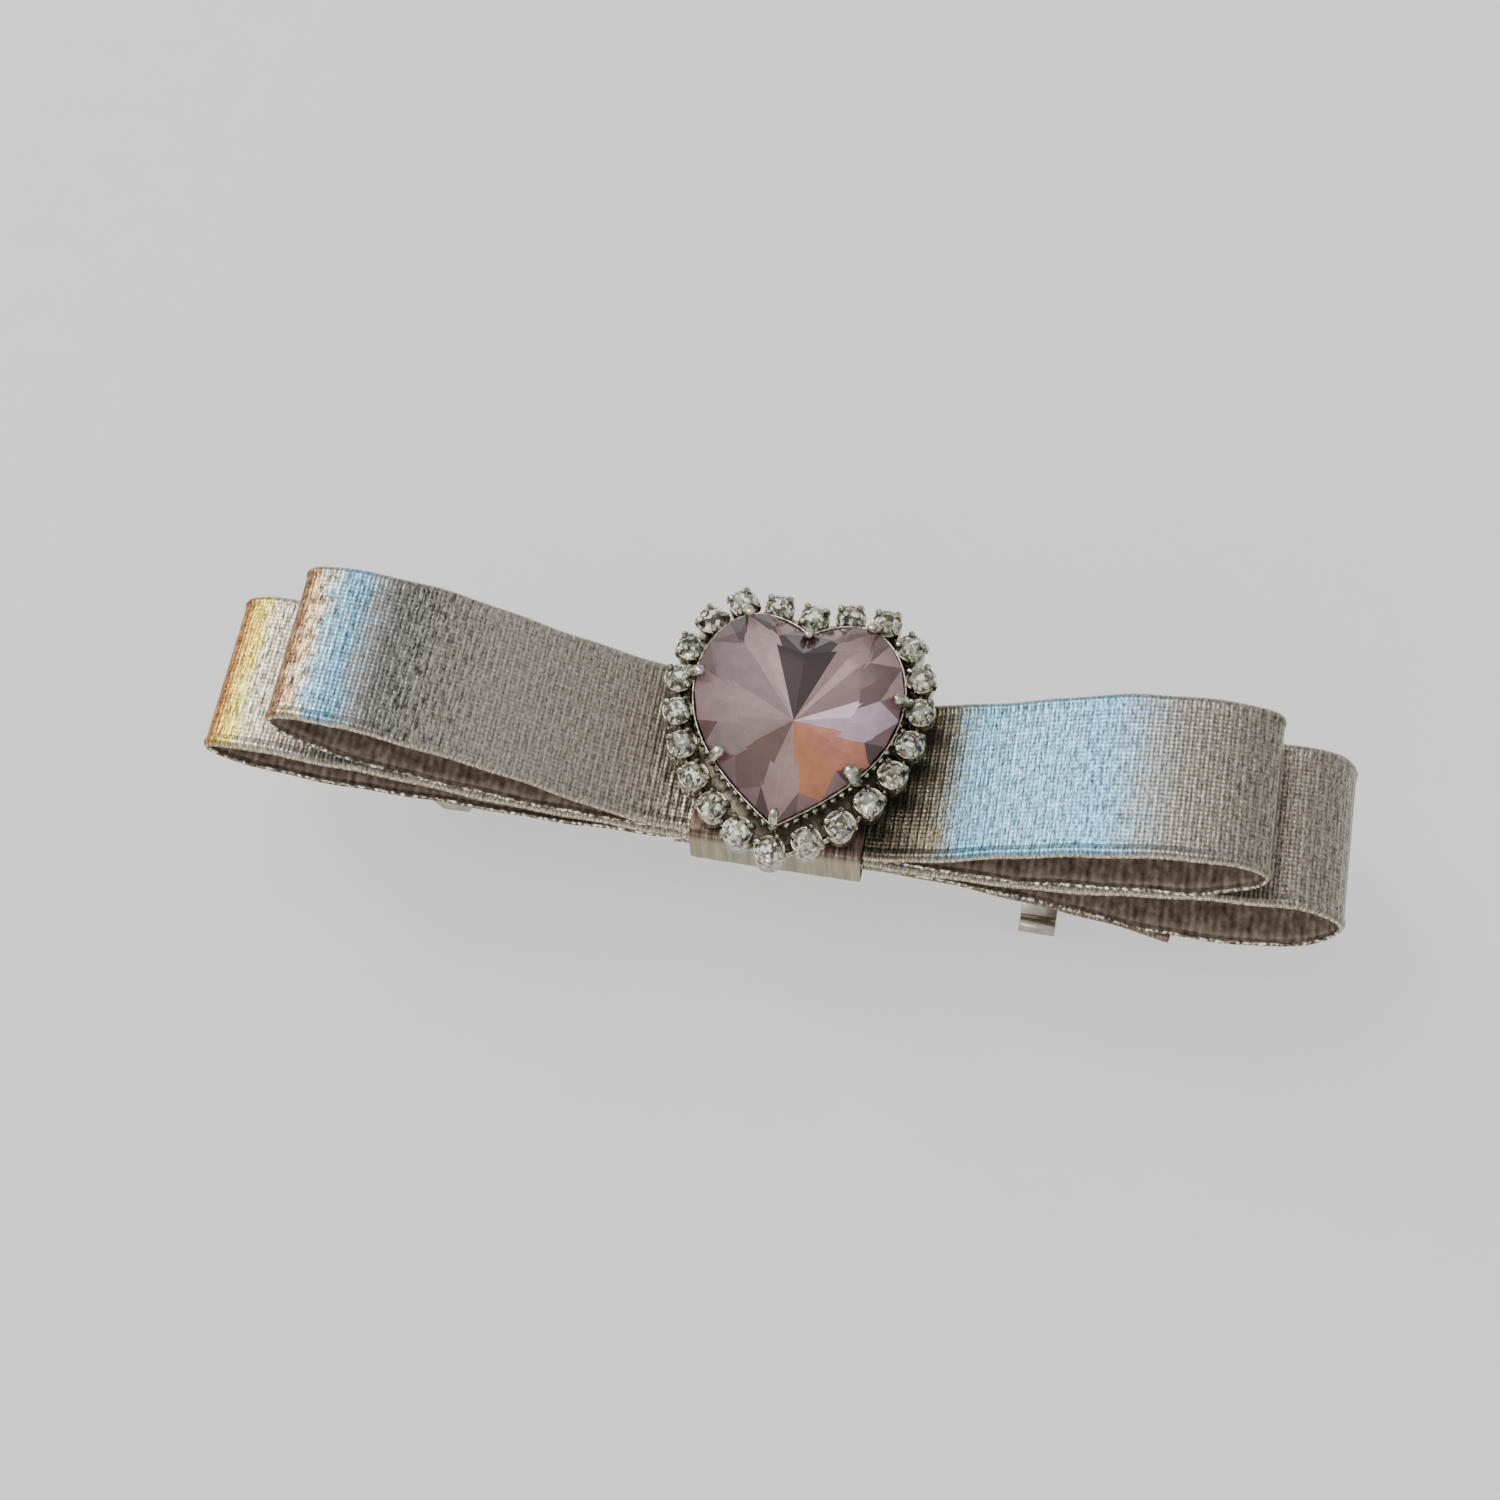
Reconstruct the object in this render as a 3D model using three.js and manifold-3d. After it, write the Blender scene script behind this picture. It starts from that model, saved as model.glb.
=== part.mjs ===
// Bow barrette: a double-looped metallic ribbon bow, held by a ribbon band on a sprung French clip,
// with a heart-cut stone in a claw setting and a border of small stones in cup chain.
// Millimetres, +Z up. X runs along the bow, Y across the ribbon, and the clip stands on Z = 0.
import * as THREE from 'three';
import { mergeVertices } from 'three/addons/utils/BufferGeometryUtils.js';
import Module from 'manifold-3d';

const wasm = await Module();
wasm.setup();

// ---------------------------------------------------------------- driving dimensions
const RIBBON_WIDTH = 16;        // 5/8 inch ribbon
const RIBBON_THICK = 0.4;
const GAP = 0.3;                // clearance kept between pieces that touch
const LAYER = RIBBON_THICK + GAP;
const RIBBON_TOP = 15.5;        // top of the uppermost ribbon where the band holds it
const PINCH_HALF = 8;           // half the length of ribbon held flat under the band
const ASSEMBLY_SHIFT = [1.2, -1.668];  // puts the footprint's middle on the origin

// Each lobe of a loop: reach from the middle, rise of its end, sag half way, half height and where
// along it (0 to 1) it is fullest.
const UPPER_LOBES = {
  left: { reach: 45.4, rise: 10.0, dip: 0, half: 3.5, full: 0.69 },
  right: { reach: 42.8, rise: 8.2, dip: 0, half: 4.0, full: 0.66 },
};
const LOWER_LOBES = {
  left: { reach: 52.8, rise: 3.9, dip: 0.5, half: 2.0, full: 0.85 },
  right: { reach: 50.4, rise: 1.45, dip: 1.9, half: 4.6, full: 0.85 },
};
const UPPER_MID = RIBBON_TOP - RIBBON_THICK / 2 - LAYER / 2;
const LOWER_MID = UPPER_MID - 2 * LAYER;
const TAIL_TOP = LOWER_MID - LAYER / 2 - RIBBON_THICK / 2 - GAP;
const TAIL = { left: -PINCH_HALF - 1.5, right: 36.2, width: RIBBON_WIDTH - 0.4 };

// clip
const PLATE_TOP = TAIL_TOP - RIBBON_THICK - GAP;
const PLATE_THICK = 0.8;
const PLATE_WIDTH = 7.6;
const CLIP_BACK = 1.2;          // the clip sits behind the bow's middle, nearer the heart's weight
const PLATE_LEFT = -36;
const PLATE_RIGHT = 33;
const ARCH = 0.0076;            // the plate falls by ARCH * (distance past the flat middle) squared
const HOLE_RADIUS = 1.1;        // the holes that thread and rivet pass through
const THREAD_HOLES = [-24, -13, 13];
const HINGE = { x: -33, z: 3.2, pinRadius: 0.7, bore: 0.78, knuckle: 1.6 };
const PIN_HEAD = { radius: 1.15, thick: 0.5, proud: 0.8 };
const EAR = { left: -35.6, right: -30.6, thick: 0.8, footLeft: -34.2, footRight: -31.6 };
const EAR_BEND = { left: 3, right: 2.4 };   // where the ears' sides start to taper to their feet
const BAR = { left: -32, right: 28, top: 3.9, thick: 0.6, width: 5, flange: 1.8, arch: 0.5 };
const BAR_MIDDLE = { x: -2, half: 30 };                          // where the bar's arch is highest
const BAR_SLOT = { left: -20, right: 14, width: 1.8 };
const BAR_LIP = { back: 0.8, knee: 0.7, kneeDrop: 1.6, toe: 1.2, toeEnd: 2.4, shin: 1.6, shinDrop: 1.2 };
const FLANGE_SHORT = 3;         // the bar's side flanges stop this far before its end
const SPRING = { left: -29, right: 20, width: 3.8, thick: 0.35, bow: 0.4, rise: 1.0 };
const LATCH = { x: 24.3, width: 3.4, halfGap: 3.8, thick: 0.7, hook: 2.85, lap: 0.3 };
const HOOK_LEVELS = { bend: 3.0, top: 2.3, bottom: 1.9, under: 1.7 };
const FINGER_ROLL = { y: 6.9, z: 1.2, radius: 0.9 };            // the rolled tip that a finger presses
const BRACKET = { left: 21.5, right: 31, thick: 0.6, width: 6.8 };
const RIVET = { x: 28.6, shank: 0.8, head: 1.7, crown: 1.2, below: 0.75, sunk: 0.35 };

// band and ornament
const BAND_THICK = 0.4;
const BAND_BOTTOM = PLATE_TOP - PLATE_THICK - GAP - BAND_THICK;
const BAND_TOP = RIBBON_TOP + GAP + BAND_THICK;
const BACK = { bottom: BAND_TOP + 0.5, thick: 0.5, margin: 1.7 };
const SEAT = BACK.bottom + BACK.thick + GAP;   // where the setting and the chain stand
const HEART_CENTRE = [0, 2.2];
const GIRDLE = 20.6;
const CROWN_HEIGHT = 2.7;
const PAVILION_DEPTH = 2.3;
const STONE_COUNT = 22;
const CUP = { radius: 1.4, height: 2.3, wall: 0.3, floor: 0.4 };
const LINK = { width: 0.7, thick: 0.36, lift: 0.24 };
const PRONG = { inset: 0.07, width: 0.5, tall: 0.9 };
const CHAIN_STONE_RADIUS = 1.04;

// ---------------------------------------------------------------- helpers
const solidOf = (geometry) => {
  const bare = geometry.clone();
  for (const name of Object.keys(bare.attributes)) {
    if (name !== 'position') {
      bare.deleteAttribute(name);
    }
  }
  const merged = mergeVertices(bare, 1e-5);
  return new wasm.Manifold(new wasm.Mesh({
    numProp: 3,
    vertProperties: new Float32Array(merged.attributes.position.array),
    triVerts: new Uint32Array(merged.index.array),
  }));
};

const geometryOf = (solid) => {
  const mesh = solid.getMesh();
  const geometry = new THREE.BufferGeometry();
  geometry.setAttribute('position', new THREE.BufferAttribute(mesh.vertProperties, 3));
  geometry.setIndex(new THREE.BufferAttribute(mesh.triVerts, 1));
  geometry.computeVertexNormals();
  return geometry;
};

const joined = (solids) => solids.reduce((whole, piece) => whole.add(piece));

const shapeOf = (points) => new THREE.Shape(points.map(([a, b]) => new THREE.Vector2(a, b)));

// A side view in X and Z carried across Y.
const acrossY = (shape, width, middle = 0) => {
  const geometry = new THREE.ExtrudeGeometry(shape, { depth: width, bevelEnabled: false });
  return geometry.rotateX(Math.PI / 2).translate(0, middle + width / 2, 0);
};

// An end view in Y and Z carried along X.
const alongX = (shape, length, middle) => {
  const geometry = new THREE.ExtrudeGeometry(shape, { depth: length, bevelEnabled: false });
  return geometry.rotateX(Math.PI / 2).rotateZ(Math.PI / 2).translate(middle - length / 2, 0, 0);
};

const rodY = (radius, length, x, z, sides = 24) =>
  new THREE.CylinderGeometry(radius, radius, length, sides).translate(x, 0, z);

const rodZ = (radius, bottom, top, x, y, sides = 20) => new THREE.CylinderGeometry(radius, radius,
  top - bottom, sides).rotateX(Math.PI / 2).translate(x, y, (bottom + top) / 2);

const rodX = (radius, length, x, y, z, sides = 20) =>
  new THREE.CylinderGeometry(radius, radius, length, sides).rotateZ(Math.PI / 2).translate(x, y, z);

const range = (count) => Array.from({ length: count }, (_, index) => index);

// Leaves out the points that lie on a straight run between their neighbours.
const bends = (points) => points.filter(([x, z], i) => {
  if (i === 0 || i === points.length - 1) {
    return true;
  }
  const [x0, z0] = points[i - 1];
  const [x1, z1] = points[i + 1];
  return Math.abs((x - x0) * (z1 - z0) - (z - z0) * (x1 - x0)) > 0.01;
});

// A strip whose top follows top(x) from left to right.
const stripShape = (left, right, top, thick, steps) => {
  const line = bends(range(steps + 1).map((i) => left + (right - left) * i / steps).map((x) => [x, top(x)]));
  return shapeOf([...line.map(([x, z]) => [x, z - thick]), ...line.reverse()]);
};

// Rings of equal length stacked from the lowest to the highest, each given as points [x, y, z].
const loft = (rings) => {
  const count = rings[0].length;
  const points = rings.flat();
  const middleOf = (ring) => range(3).map((k) => ring.reduce((sum, p) => sum + p[k], 0) / count);
  points.push(middleOf(rings[0]), middleOf(rings[rings.length - 1]));
  const bottom = points.length - 2;
  const top = points.length - 1;
  const last = (rings.length - 1) * count;
  const faces = [];
  for (const i of range(count)) {
    const j = (i + 1) % count;
    faces.push(bottom, j, i, top, last + i, last + j);
    for (const level of range(rings.length - 1)) {
      const a = level * count + i;
      const b = level * count + j;
      faces.push(a, b, b + count, a, b + count, a + count);
    }
  }
  const geometry = new THREE.BufferGeometry();
  geometry.setAttribute('position', new THREE.Float32BufferAttribute(points.flat(), 3));
  geometry.setIndex(faces);
  geometry.computeVertexNormals();
  return geometry;
};

const smooth = (t) => t * t * (3 - 2 * t);

// ---------------------------------------------------------------- ribbon bow
const archDrop = (x) => ARCH * Math.max(0, Math.abs(x) - PINCH_HALF) ** 2;
const tailTop = (x) => TAIL_TOP - archDrop(x);

// Centre line of one lobe at t, 0 at the band and 1 at the end: [distance, middle height, half height].
// It leaves the band level, swells to its fullest and closes with half an ellipse.
const lobeAt = (lobe, mid, t) => {
  const half = LAYER / 2;
  const lift = 1.15 * lobe.rise * t * t / (t + 0.15);
  const height = mid + lift - 4 * lobe.dip * t * (1 - t);
  const swell = t <= lobe.full
    ? half + (lobe.half - half) * smooth(t / lobe.full)
    : lobe.half * Math.sqrt(Math.max(0, 1 - ((t - lobe.full) / (1 - lobe.full)) ** 2));
  return [PINCH_HALF + (lobe.reach - PINCH_HALF) * t, height, swell];
};

// The stations along a lobe: even up to the fullest point, then even in angle round the end.
const lobeStations = (lobe, straight, round) => [
  ...range(straight).map((i) => lobe.full * i / straight),
  ...range(round + 1).map((i) => lobe.full + (1 - lobe.full) * Math.sin(Math.PI / 2 * i / round)),
];

const LOBE_STRAIGHT = 12;
const LOBE_ROUND = 9;

// One lobe's centre line from the band along its top, round the end and back along its bottom.
const lobeLine = (lobe, mid, side, floor) => {
  const stations = lobeStations(lobe, LOBE_STRAIGHT, LOBE_ROUND);
  const top = [];
  const bottom = [];
  for (const t of stations) {
    const [distance, height, half] = lobeAt(lobe, mid, t);
    const x = side * distance;
    top.push([x, height + half]);
    bottom.push([x, Math.max(height - half, Math.min(floor(x), height))]);
  }
  return [...top, ...bottom.reverse().slice(1)];
};

// A closed centre line given a thickness: the outline outside it and the hole inside it.
const bandShape = (line, thick) => {
  const count = line.length;
  const shifted = (amount) => line.map(([x, z], i) => {
    const [x0, z0] = line[(i + count - 1) % count];
    const [x1, z1] = line[(i + 1) % count];
    const length = Math.hypot(x1 - x0, z1 - z0);
    return [x + amount * (z1 - z0) / length, z - amount * (x1 - x0) / length];
  });
  const shape = shapeOf(shifted(thick / 2));
  shape.holes.push(shapeOf(shifted(-thick / 2)));
  return shape;
};

const loopShape = (lobes, mid, floor) => {
  const right = lobeLine(lobes.right, mid, 1, floor);
  const left = lobeLine(lobes.left, mid, -1, floor).reverse();
  return bandShape([...right.reverse(), ...left.reverse()], RIBBON_THICK);
};

// Height of a lobe's top centre line over a given place along the bow.
const lobeTopAt = (lobes, mid, x) => {
  const lobe = x < 0 ? lobes.left : lobes.right;
  const t = (Math.abs(x) - PINCH_HALF) / (lobe.reach - PINCH_HALF);
  if (t <= 0 || t >= 1) {
    return t <= 0 ? mid + LAYER / 2 : -Infinity;
  }
  const [, height, half] = lobeAt(lobe, mid, t);
  return height + half;
};

const SLOPE_ROOM = 0.25;        // extra spacing where layers lie on a slope

const lowerLoop = () => {
  const floor = (x) => (Math.abs(x) < TAIL.right + 1 ? tailTop(x) + RIBBON_THICK / 2 + GAP : -Infinity);
  return acrossY(loopShape(LOWER_LOBES, LOWER_MID, floor), RIBBON_WIDTH);
};

const upperLoop = () => {
  const floor = (x) => lobeTopAt(LOWER_LOBES, LOWER_MID, x)
    + LAYER + (Math.abs(x) > PINCH_HALF + 1 ? SLOPE_ROOM : 0);
  return acrossY(loopShape(UPPER_LOBES, UPPER_MID, floor), RIBBON_WIDTH);
};

// The ribbon's loose end: it starts under the band and lies along the plate to a square cut.
const tailRibbon = () => acrossY(stripShape(TAIL.left, TAIL.right, tailTop, RIBBON_THICK, 36), TAIL.width);

// The band goes once round the ribbons and the plate: a rounded box outline with a rounded hole.
const roundedBox = (halfWidth, bottom, top, radius) => {
  const shape = new THREE.Shape();
  const corner = (y, z, start) => shape.absarc(y, z, radius, start, start + Math.PI / 2, false);
  corner(halfWidth - radius, top - radius, 0);
  corner(-halfWidth + radius, top - radius, Math.PI / 2);
  corner(-halfWidth + radius, bottom + radius, Math.PI);
  corner(halfWidth - radius, bottom + radius, 1.5 * Math.PI);
  return new THREE.Shape(shape.getPoints(6));
};

const wrapBand = () => {
  const inside = RIBBON_WIDTH / 2 + GAP;
  const shape = roundedBox(inside + BAND_THICK, BAND_BOTTOM, BAND_TOP, 1.0);
  shape.holes.push(roundedBox(inside, BAND_BOTTOM + BAND_THICK, BAND_TOP - BAND_THICK, 0.6));
  return alongX(shape, 2 * PINCH_HALF - 0.4, 0);
};

// ---------------------------------------------------------------- clip
const plateTop = (x) => PLATE_TOP - archDrop(x);
const plateBottom = (x) => plateTop(x) - PLATE_THICK;

const basePlate = () => {
  const strip = solidOf(acrossY(stripShape(PLATE_LEFT, PLATE_RIGHT, plateTop, PLATE_THICK, 36), PLATE_WIDTH));
  const plateMiddle = (x) => [x, plateBottom(x) + PLATE_THICK / 2];
  const earShape = shapeOf([plateMiddle(EAR.left), [EAR.left, EAR_BEND.left], [EAR.footLeft, 0],
    [EAR.footRight, 0], [EAR.right, EAR_BEND.right], plateMiddle(EAR.right + 1.5),
    plateMiddle((EAR.left + EAR.right) / 2)].reverse());
  const earY = PLATE_WIDTH / 2 - EAR.thick / 2;
  const ears = [-earY, earY].map((y) => solidOf(acrossY(earShape, EAR.thick, y)));
  const holes = [...THREAD_HOLES, RIVET.x].map((x) =>
    solidOf(rodZ(HOLE_RADIUS, plateBottom(x) - 1, plateTop(x) + 1, x, 0)));
  holes.push(solidOf(rodY(HINGE.bore, PLATE_WIDTH + 2, HINGE.x, HINGE.z)));
  return geometryOf(joined([strip, ...ears]).subtract(joined(holes)));
};

const hingePin = () => {
  const half = PLATE_WIDTH / 2 + PIN_HEAD.proud;
  const neck = half - PIN_HEAD.thick;
  const profile = [[0, -half], [PIN_HEAD.radius, -half], [PIN_HEAD.radius, -neck], [HINGE.pinRadius, -neck],
    [HINGE.pinRadius, neck], [PIN_HEAD.radius, neck], [PIN_HEAD.radius, half], [0, half]];
  const points = profile.map(([r, y]) => new THREE.Vector2(r, y));
  return new THREE.LatheGeometry(points, 24).translate(HINGE.x, 0, HINGE.z);
};

const barTop = (x) => BAR.top + BAR.arch * (1 - ((x - BAR_MIDDLE.x) / BAR_MIDDLE.half) ** 2);

const claspBar = () => {
  const web = solidOf(acrossY(stripShape(BAR.left, BAR.right, barTop, BAR.thick, 24), BAR.width));
  const flangeY = BAR.width / 2 - BAR.thick / 2;
  const flangeTop = (x) => barTop(x) - 0.05;
  const flangeShape = stripShape(BAR.left, BAR.right - FLANGE_SHORT, flangeTop, BAR.flange, 24);
  const flanges = [-flangeY, flangeY].map((y) => solidOf(acrossY(flangeShape, BAR.thick, y)));
  const knuckle = solidOf(rodY(HINGE.knuckle, BAR.width, HINGE.x, HINGE.z));
  const end = BAR.right;
  const endTop = barTop(end);
  const lip = solidOf(acrossY(shapeOf([[end - BAR_LIP.back, endTop - BAR.thick],
    [end + BAR_LIP.knee, endTop - BAR_LIP.kneeDrop], [end + BAR_LIP.toe, 0], [end + BAR_LIP.toeEnd, 0],
    [end + BAR_LIP.shin, endTop - BAR_LIP.shinDrop], [end, endTop], [end - BAR_LIP.back, endTop]]), BAR.width));
  const above = PLATE_TOP;
  const slot = solidOf(acrossY(shapeOf([[BAR_SLOT.left, 0], [BAR_SLOT.right, 0], [BAR_SLOT.right, above],
    [BAR_SLOT.left, above]]), BAR_SLOT.width));
  const bore = solidOf(rodY(HINGE.bore, BAR.width + 2, HINGE.x, HINGE.z));
  return geometryOf(joined([web, ...flanges, knuckle, lip]).subtract(slot).subtract(bore));
};

// A shallow bow of spring steel over the bar, held at its hinge end and free at the other.
const tensionSpring = () => {
  const length = SPRING.right - SPRING.left;
  const top = (x) => {
    const along = (x - SPRING.left) / length;
    return barTop(x) + GAP + SPRING.thick + SPRING.rise * along + SPRING.bow * Math.sin(Math.PI * along) ** 2;
  };
  return acrossY(stripShape(SPRING.left, SPRING.right, top, SPRING.thick, 24), SPRING.width);
};

const latchBracket = () => {
  const top = (x) => plateBottom(x) - GAP;
  const strip = solidOf(acrossY(stripShape(BRACKET.left, BRACKET.right, top, BRACKET.thick, 8), BRACKET.width));
  return geometryOf(strip.subtract(solidOf(rodZ(HOLE_RADIUS, 0, PLATE_TOP, RIVET.x, 0))));
};

const latchRivet = () => {
  const { shank, head, crown, below, sunk } = RIVET;
  const top = plateTop(RIVET.x) - sunk;
  const under = plateBottom(RIVET.x) - GAP - BRACKET.thick - below;
  const profile = [[0, under - shank], [crown, under - 0.6], [head, under], [shank, under + 0.01],
    [shank, top], [0, top]];
  const points = profile.map(([r, z]) => new THREE.Vector2(r, z));
  return new THREE.LatheGeometry(points, 20).rotateX(Math.PI / 2).translate(RIVET.x, 0, 0);
};

// One sprung arm of the latch: down past the bar, a hook under it, then out to a rolled finger tip.
const latchArm = (side) => {
  const { halfGap, thick, hook, lap } = LATCH;
  const roll = FINGER_ROLL;
  const top = plateBottom(LATCH.x) - GAP - BRACKET.thick + lap;
  const outline = [[halfGap, top], [halfGap, HOOK_LEVELS.bend], [hook, HOOK_LEVELS.top],
    [hook, HOOK_LEVELS.bottom], [halfGap, HOOK_LEVELS.under], [roll.y, roll.z - roll.radius / 2],
    [roll.y, roll.z + roll.radius / 2], [halfGap + thick, HOOK_LEVELS.bend], [halfGap + thick, top]];
  const points = outline.map(([y, z]) => [side * y, z]);
  const strip = alongX(shapeOf(side > 0 ? points : points.reverse()), LATCH.width, LATCH.x);
  const tip = rodX(roll.radius, LATCH.width, LATCH.x, side * roll.y, roll.z);
  return geometryOf(joined([solidOf(strip), solidOf(tip)]));
};

// ---------------------------------------------------------------- heart ornament
const heartCurve = (points) => {
  const [cleft, a, b, lobe, c, d, side, e, f, tip] = points;
  const shape = new THREE.Shape();
  const mirrored = ([x, y]) => [-x, y];
  shape.moveTo(...tip);
  shape.bezierCurveTo(...f, ...e, ...side);
  shape.bezierCurveTo(...d, ...c, ...lobe);
  shape.bezierCurveTo(...b, ...a, ...cleft);
  shape.bezierCurveTo(...mirrored(a), ...mirrored(b), ...mirrored(lobe));
  shape.bezierCurveTo(...mirrored(c), ...mirrored(d), ...mirrored(side));
  shape.bezierCurveTo(...mirrored(e), ...mirrored(f), ...tip);
  return shape;
};

const HEART = heartCurve([[0, 10.7], [0.9, 11.7], [2.9, 12.4], [4.4, 12.4], [7.4, 12.4], [9.5, 8.6],
  [9.4, 5.4], [9.5, 0.6], [6.9, -3.4], [0, -8.3]]);
const CHAIN = heartCurve([[0, 13.2], [1.8, 13.3], [3.8, 13.95], [5.4, 13.95], [9.0, 13.9], [11.1, 8.9],
  [11.05, 5.2], [10.6, -3.2], [5.2, -8.9], [0, -10.4]]);

const HEART_POINTS = 36;
const heartPoints = HEART.getSpacedPoints(HEART_POINTS).slice(0, HEART_POINTS).map((p) => [p.x, p.y]);

// The heart's outline at a height, scaled about its middle and pushed out by a margin.
const heartRing = (z, scale, margin = 0) => {
  const count = heartPoints.length;
  return heartPoints.map(([x, y], i) => {
    const [x0, y0] = heartPoints[(i + count - 1) % count];
    const [x1, y1] = heartPoints[(i + 1) % count];
    const length = Math.hypot(x1 - x0, y1 - y0);
    const outX = margin * (y1 - y0) / length;
    const outY = -margin * (x1 - x0) / length;
    return [HEART_CENTRE[0] + (x - HEART_CENTRE[0]) * scale + outX,
      HEART_CENTRE[1] + (y - HEART_CENTRE[1]) * scale + outY, z];
  });
};

const heartStone = () => loft([
  heartRing(GIRDLE - PAVILION_DEPTH, 0.18),
  heartRing(GIRDLE - 0.2, 1),
  heartRing(GIRDLE + 0.2, 1),
  heartRing(GIRDLE + 0.7 * CROWN_HEIGHT, 0.74),
  heartRing(GIRDLE + CROWN_HEIGHT, 0.52),
]);

const CLAW_PLACES = [0, 0.13, 0.27, 0.4, 0.5, 0.6, 0.73, 0.87];   // round the outline from its tip
const CLAW_WIDTH = 0.9;
// The side view of a claw: how far out from the outline, and how high over the girdle.
const CLAW_PROFILE = [[-0.1, -0.5], [0.3, -0.5], [0.5, 0.2], [0.2, 0.9], [-0.75, 1.5], [-0.95, 1.2],
  [-0.1, 0.2]];

// An open cup round the stone's lower half, with claws bent in over its edge.
const heartSetting = () => {
  const floor = GIRDLE - PAVILION_DEPTH - 0.35;
  const wall = solidOf(loft([heartRing(SEAT, 0.84), heartRing(GIRDLE - 0.1, 1, 0.36)]));
  const recess = solidOf(loft([
    heartRing(floor, 0.2, 0.1),
    heartRing(GIRDLE - 0.45, 1, -0.05),
    heartRing(GIRDLE + 1, 1, -0.05),
  ]));
  const room = solidOf(loft([
    heartRing(floor, 0.24, 0.1),
    heartRing(GIRDLE - 0.25, 1, 0.12),
    heartRing(GIRDLE + 0.3, 1, 0.12),
    heartRing(GIRDLE + 0.3 + 0.7 * CROWN_HEIGHT, 0.76, 0.12),
  ]));
  const clawShape = shapeOf(CLAW_PROFILE.map(([out, rise]) => [out, GIRDLE + rise]));
  const claws = CLAW_PLACES.map((place) => {
    const at = HEART.getPointAt(place);
    const turn = Math.atan2(at.y - HEART_CENTRE[1], at.x - HEART_CENTRE[0]);
    return solidOf(acrossY(clawShape, CLAW_WIDTH).rotateZ(turn).translate(at.x, at.y, 0));
  });
  return geometryOf(joined([wall.subtract(recess), ...claws]).subtract(room));
};

const ornamentBack = () => loft([
  heartRing(BACK.bottom, 1, BACK.margin),
  heartRing(BACK.bottom + BACK.thick, 1, BACK.margin),
]);

const chainPlaces = range(STONE_COUNT).map((i) => {
  const at = CHAIN.getPointAt(i / STONE_COUNT);
  return [at.x, at.y];
});

// Round cups with four small prongs each, joined by short links into a closed chain.
const cupChain = () => {
  const { radius, height, wall, floor } = CUP;
  const bodies = [];
  const recesses = [];
  const upright = (r, bottom, top) => new THREE.CylinderGeometry(r, r, top - bottom, 12)
    .rotateX(Math.PI / 2).translate(0, 0, (bottom + top) / 2);
  chainPlaces.forEach(([x, y], i) => {
    const [nextX, nextY] = chainPlaces[(i + 1) % STONE_COUNT];
    const turn = Math.atan2(nextY - y, nextX - x);
    const put = (geometry) => solidOf(geometry.rotateZ(turn).translate(x, y, 0));
    bodies.push(put(upright(radius, SEAT, SEAT + height)));
    recesses.push(put(upright(radius - wall, SEAT + floor, SEAT + height + 1)));
    const length = Math.hypot(nextX - x, nextY - y);
    const link = new THREE.BoxGeometry(length, LINK.width, LINK.thick);
    bodies.push(put(link.translate(length / 2, 0, SEAT + LINK.lift)));
    for (const corner of range(4)) {
      const angle = Math.PI / 4 + corner * Math.PI / 2;
      const prong = new THREE.BoxGeometry(wall, PRONG.width, PRONG.tall);
      bodies.push(put(prong.translate(radius - PRONG.inset, 0, SEAT + height).rotateZ(angle)));
    }
  });
  return geometryOf(joined(bodies).subtract(joined(recesses)));
};

// A small round brilliant: a cone below, a bevelled crown and a flat table above.
const chainStone = ([x, y]) => {
  const bottom = SEAT + CUP.floor + 0.2;
  const edge = SEAT + CUP.height - 0.2;
  const profile = [[0, bottom], [CHAIN_STONE_RADIUS * 0.9, edge - 0.25], [CHAIN_STONE_RADIUS * 0.9, edge],
    [CHAIN_STONE_RADIUS * 0.55, edge + 0.65], [0, edge + 0.65]];
  const points = profile.map(([r, z]) => new THREE.Vector2(r, z));
  return new THREE.LatheGeometry(points, 8).rotateX(Math.PI / 2).translate(x, y, 0);
};

// ---------------------------------------------------------------- materials and assembly
const material = (color, roughness, metalness) =>
  new THREE.MeshStandardMaterial({ color, roughness, metalness });
const LAME = material('#8f8a82', 0.35, 0.7);
const STEEL = material('#c9cacb', 0.22, 1);
const SILVER = material('#d2d0c8', 0.18, 1);
const ROSE = material('#b98a88', 0.05, 0.1);
const CRYSTAL = material('#d8d6c4', 0.03, 0.1);

const bow = new THREE.Group();
const clip = new THREE.Group();
const ornament = new THREE.Group();

const place = (group, name, geometry, finish) => {
  const mesh = new THREE.Mesh(geometry, finish);
  mesh.name = name;
  group.add(mesh);
};

place(bow, 'upper_ribbon_loop', upperLoop(), LAME);
place(bow, 'lower_ribbon_loop', lowerLoop(), LAME);
place(bow, 'tail_ribbon', tailRibbon(), LAME);
place(bow, 'wrap_band', wrapBand(), LAME);

place(clip, 'base_plate', basePlate(), STEEL);
place(clip, 'hinge_pin', hingePin(), STEEL);
place(clip, 'clasp_bar', claspBar(), STEEL);
place(clip, 'tension_spring', tensionSpring(), STEEL);
place(clip, 'latch_bracket', latchBracket(), STEEL);
place(clip, 'latch_rivet', latchRivet(), STEEL);
place(clip, 'latch_arm_front', latchArm(-1), STEEL);
place(clip, 'latch_arm_back', latchArm(1), STEEL);

place(ornament, 'ornament_back', ornamentBack(), SILVER);
place(ornament, 'heart_setting', heartSetting(), SILVER);
place(ornament, 'heart_stone', heartStone(), ROSE);
place(ornament, 'cup_chain', cupChain(), SILVER);
chainPlaces.forEach((at, i) => {
  place(ornament, `chain_stone_${String(i + 1).padStart(2, '0')}`, chainStone(at), CRYSTAL);
});

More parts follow.
